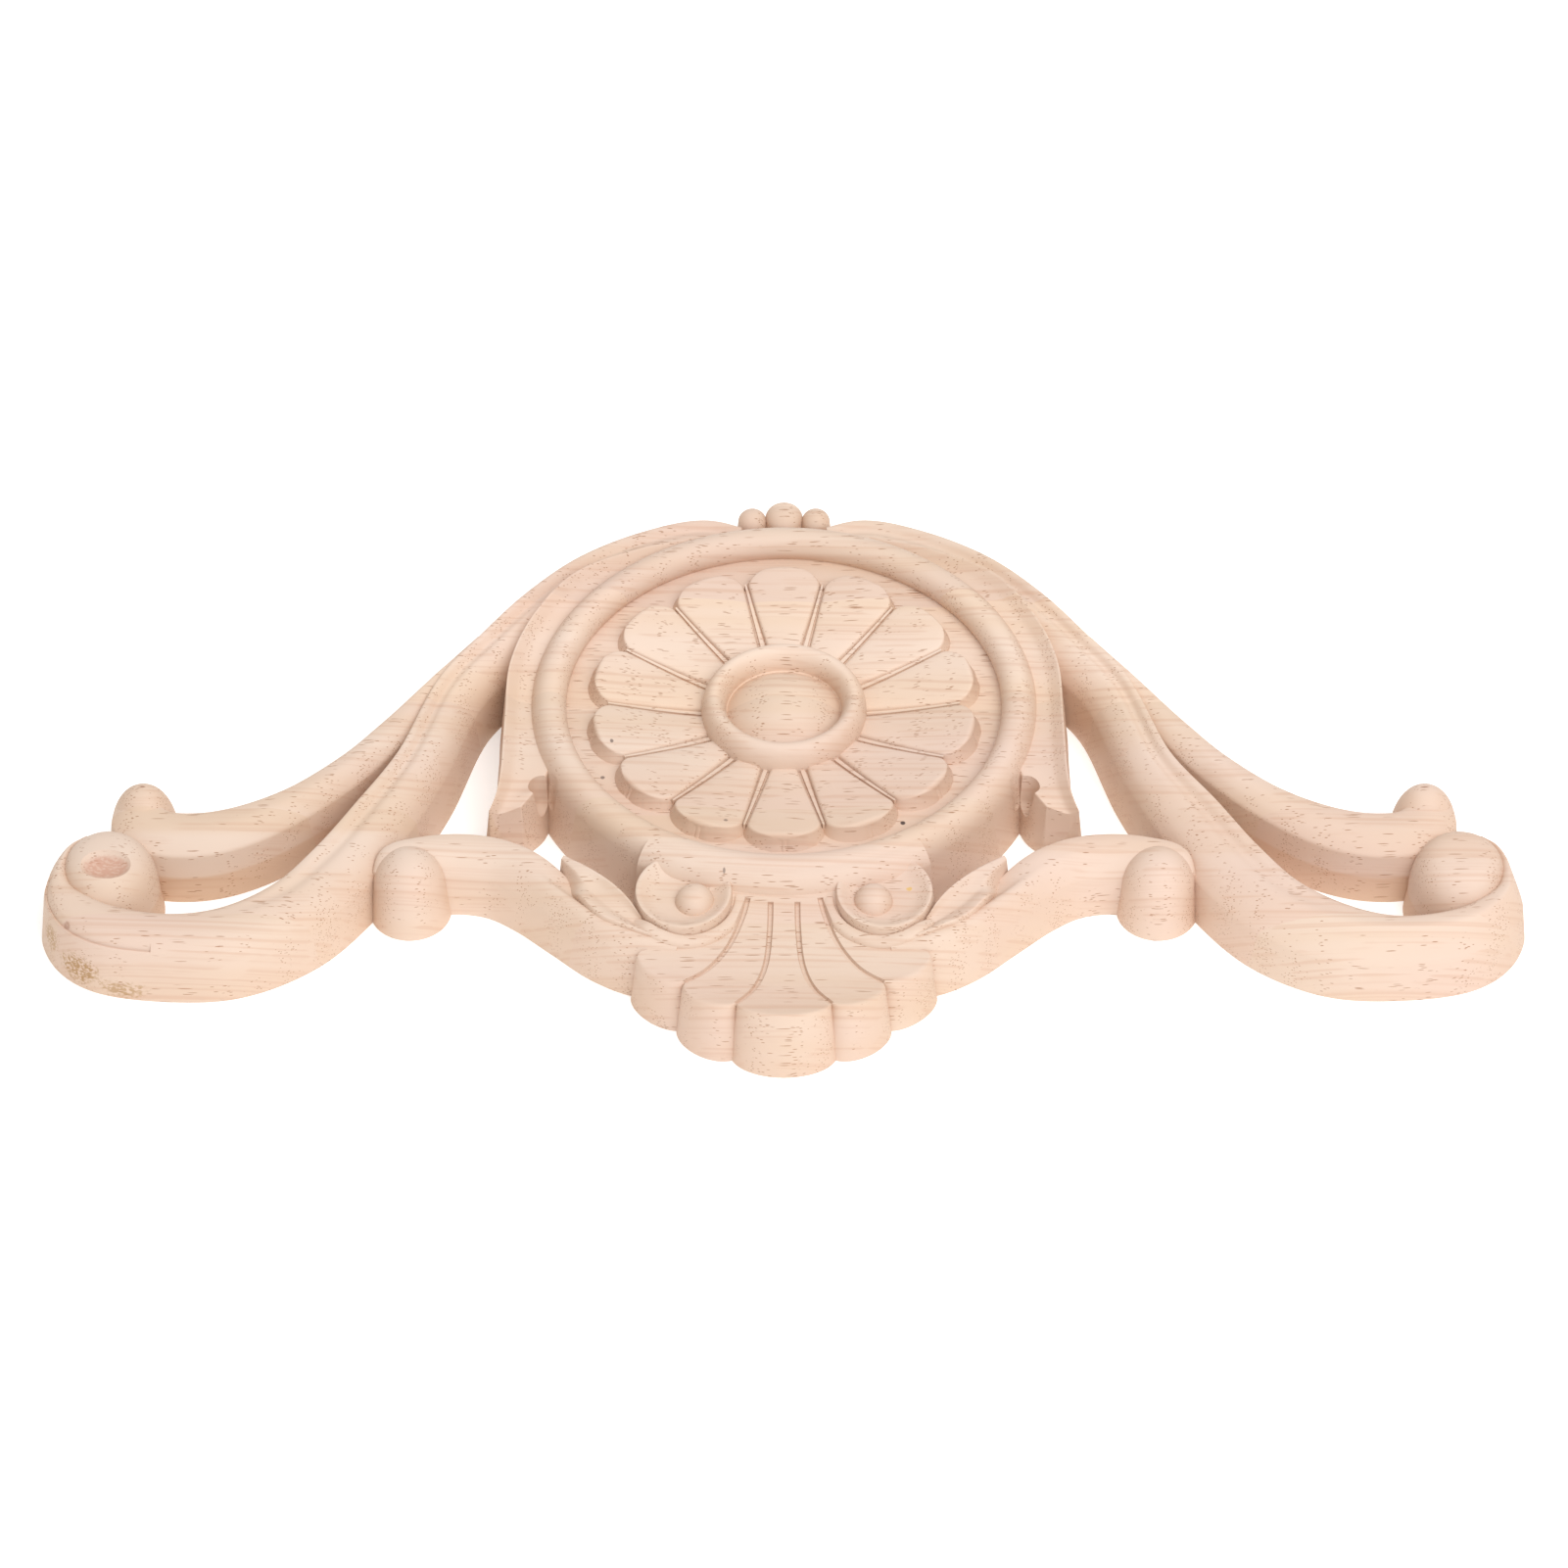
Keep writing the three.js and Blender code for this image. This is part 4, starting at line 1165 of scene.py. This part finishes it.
scoop = boss("scoop", (0, 0), SCOOP_RADIUS, rim=CUTTER_LENGTH - SCOOP_RADIUS, top=CUTTER_LENGTH, steps=40)
edit_all(scoop)
bpy.ops.transform.rotate(value=math.pi, orient_axis="X", center_override=(0, 0, 0))
bpy.ops.transform.translate(value=(Vector(SCOOP_FOOT) + Vector((0, 0, CUTTER_LENGTH))) * MM)
bpy.ops.object.mode_set(mode="OBJECT")
combine(applique, mirrored(scoop, "left_scoop"), "DIFFERENCE")
combine(applique, scoop, "DIFFERENCE")
print("scoops cut, faces now", len(applique.data.polygons))

# %% Torn knot on the left volute
KNOT_PLACE, KNOT_RADII = (-182.5, -65, 23.4), (7.7, 5.3, 3.6)
KNOT_TILT = math.radians(-12)

deselect()
bpy.ops.mesh.primitive_uv_sphere_add(segments=40, ring_count=20, radius=MM)
knot = bpy.context.object
edit_all(knot)
bpy.ops.transform.resize(value=KNOT_RADII, center_override=(0, 0, 0))
bpy.ops.transform.rotate(value=KNOT_TILT, orient_axis="X", center_override=(0, 0, 0))
bpy.ops.transform.translate(value=Vector(KNOT_PLACE) * MM)
bpy.ops.object.mode_set(mode="OBJECT")
combine(applique, knot, "DIFFERENCE")

# %% Knife line on the left strap
LINE_SHARE = 0.84                 # across the strap
LINE_FROM, LINE_TO = 0.64, 0.84   # along it

edge = [row[round(LINE_SHARE * (len(row) - 1))] for row in left_face]
stretch = edge[round(LINE_FROM * (len(edge) - 1)):round(LINE_TO * (len(edge) - 1))]
knife = channel_cutter(stretch, floor_half=0.15, slope=0.5, depth=0.9)
combine(applique, flipped(knife), "DIFFERENCE")
print("knife line of", len(stretch), "points; faces now", len(applique.data.polygons))

# %% [markdown]
# ## Finishing
# The joined skin is shaded smooth where its faces bend softly and kept crisp at real edges. It takes the
# place of the plain solid, which stays behind it for weight and contact.

# %% Finish and hand over
SMOOTH_UP_TO = math.radians(32)

select_only(applique)
bpy.ops.object.shade_smooth_by_angle(angle=SMOOTH_UP_TO)
applique.data.materials.clear()
applique.data.materials.append(wood)
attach(applique, "root")
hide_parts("applique")
check = bmesh.new()
check.from_mesh(applique.data)
open_edges = sum(1 for edge in check.edges if not edge.is_manifold)
print("open edges:", open_edges, "volume in cm3:", round(check.calc_volume() * 1e6, 1))
check.free()
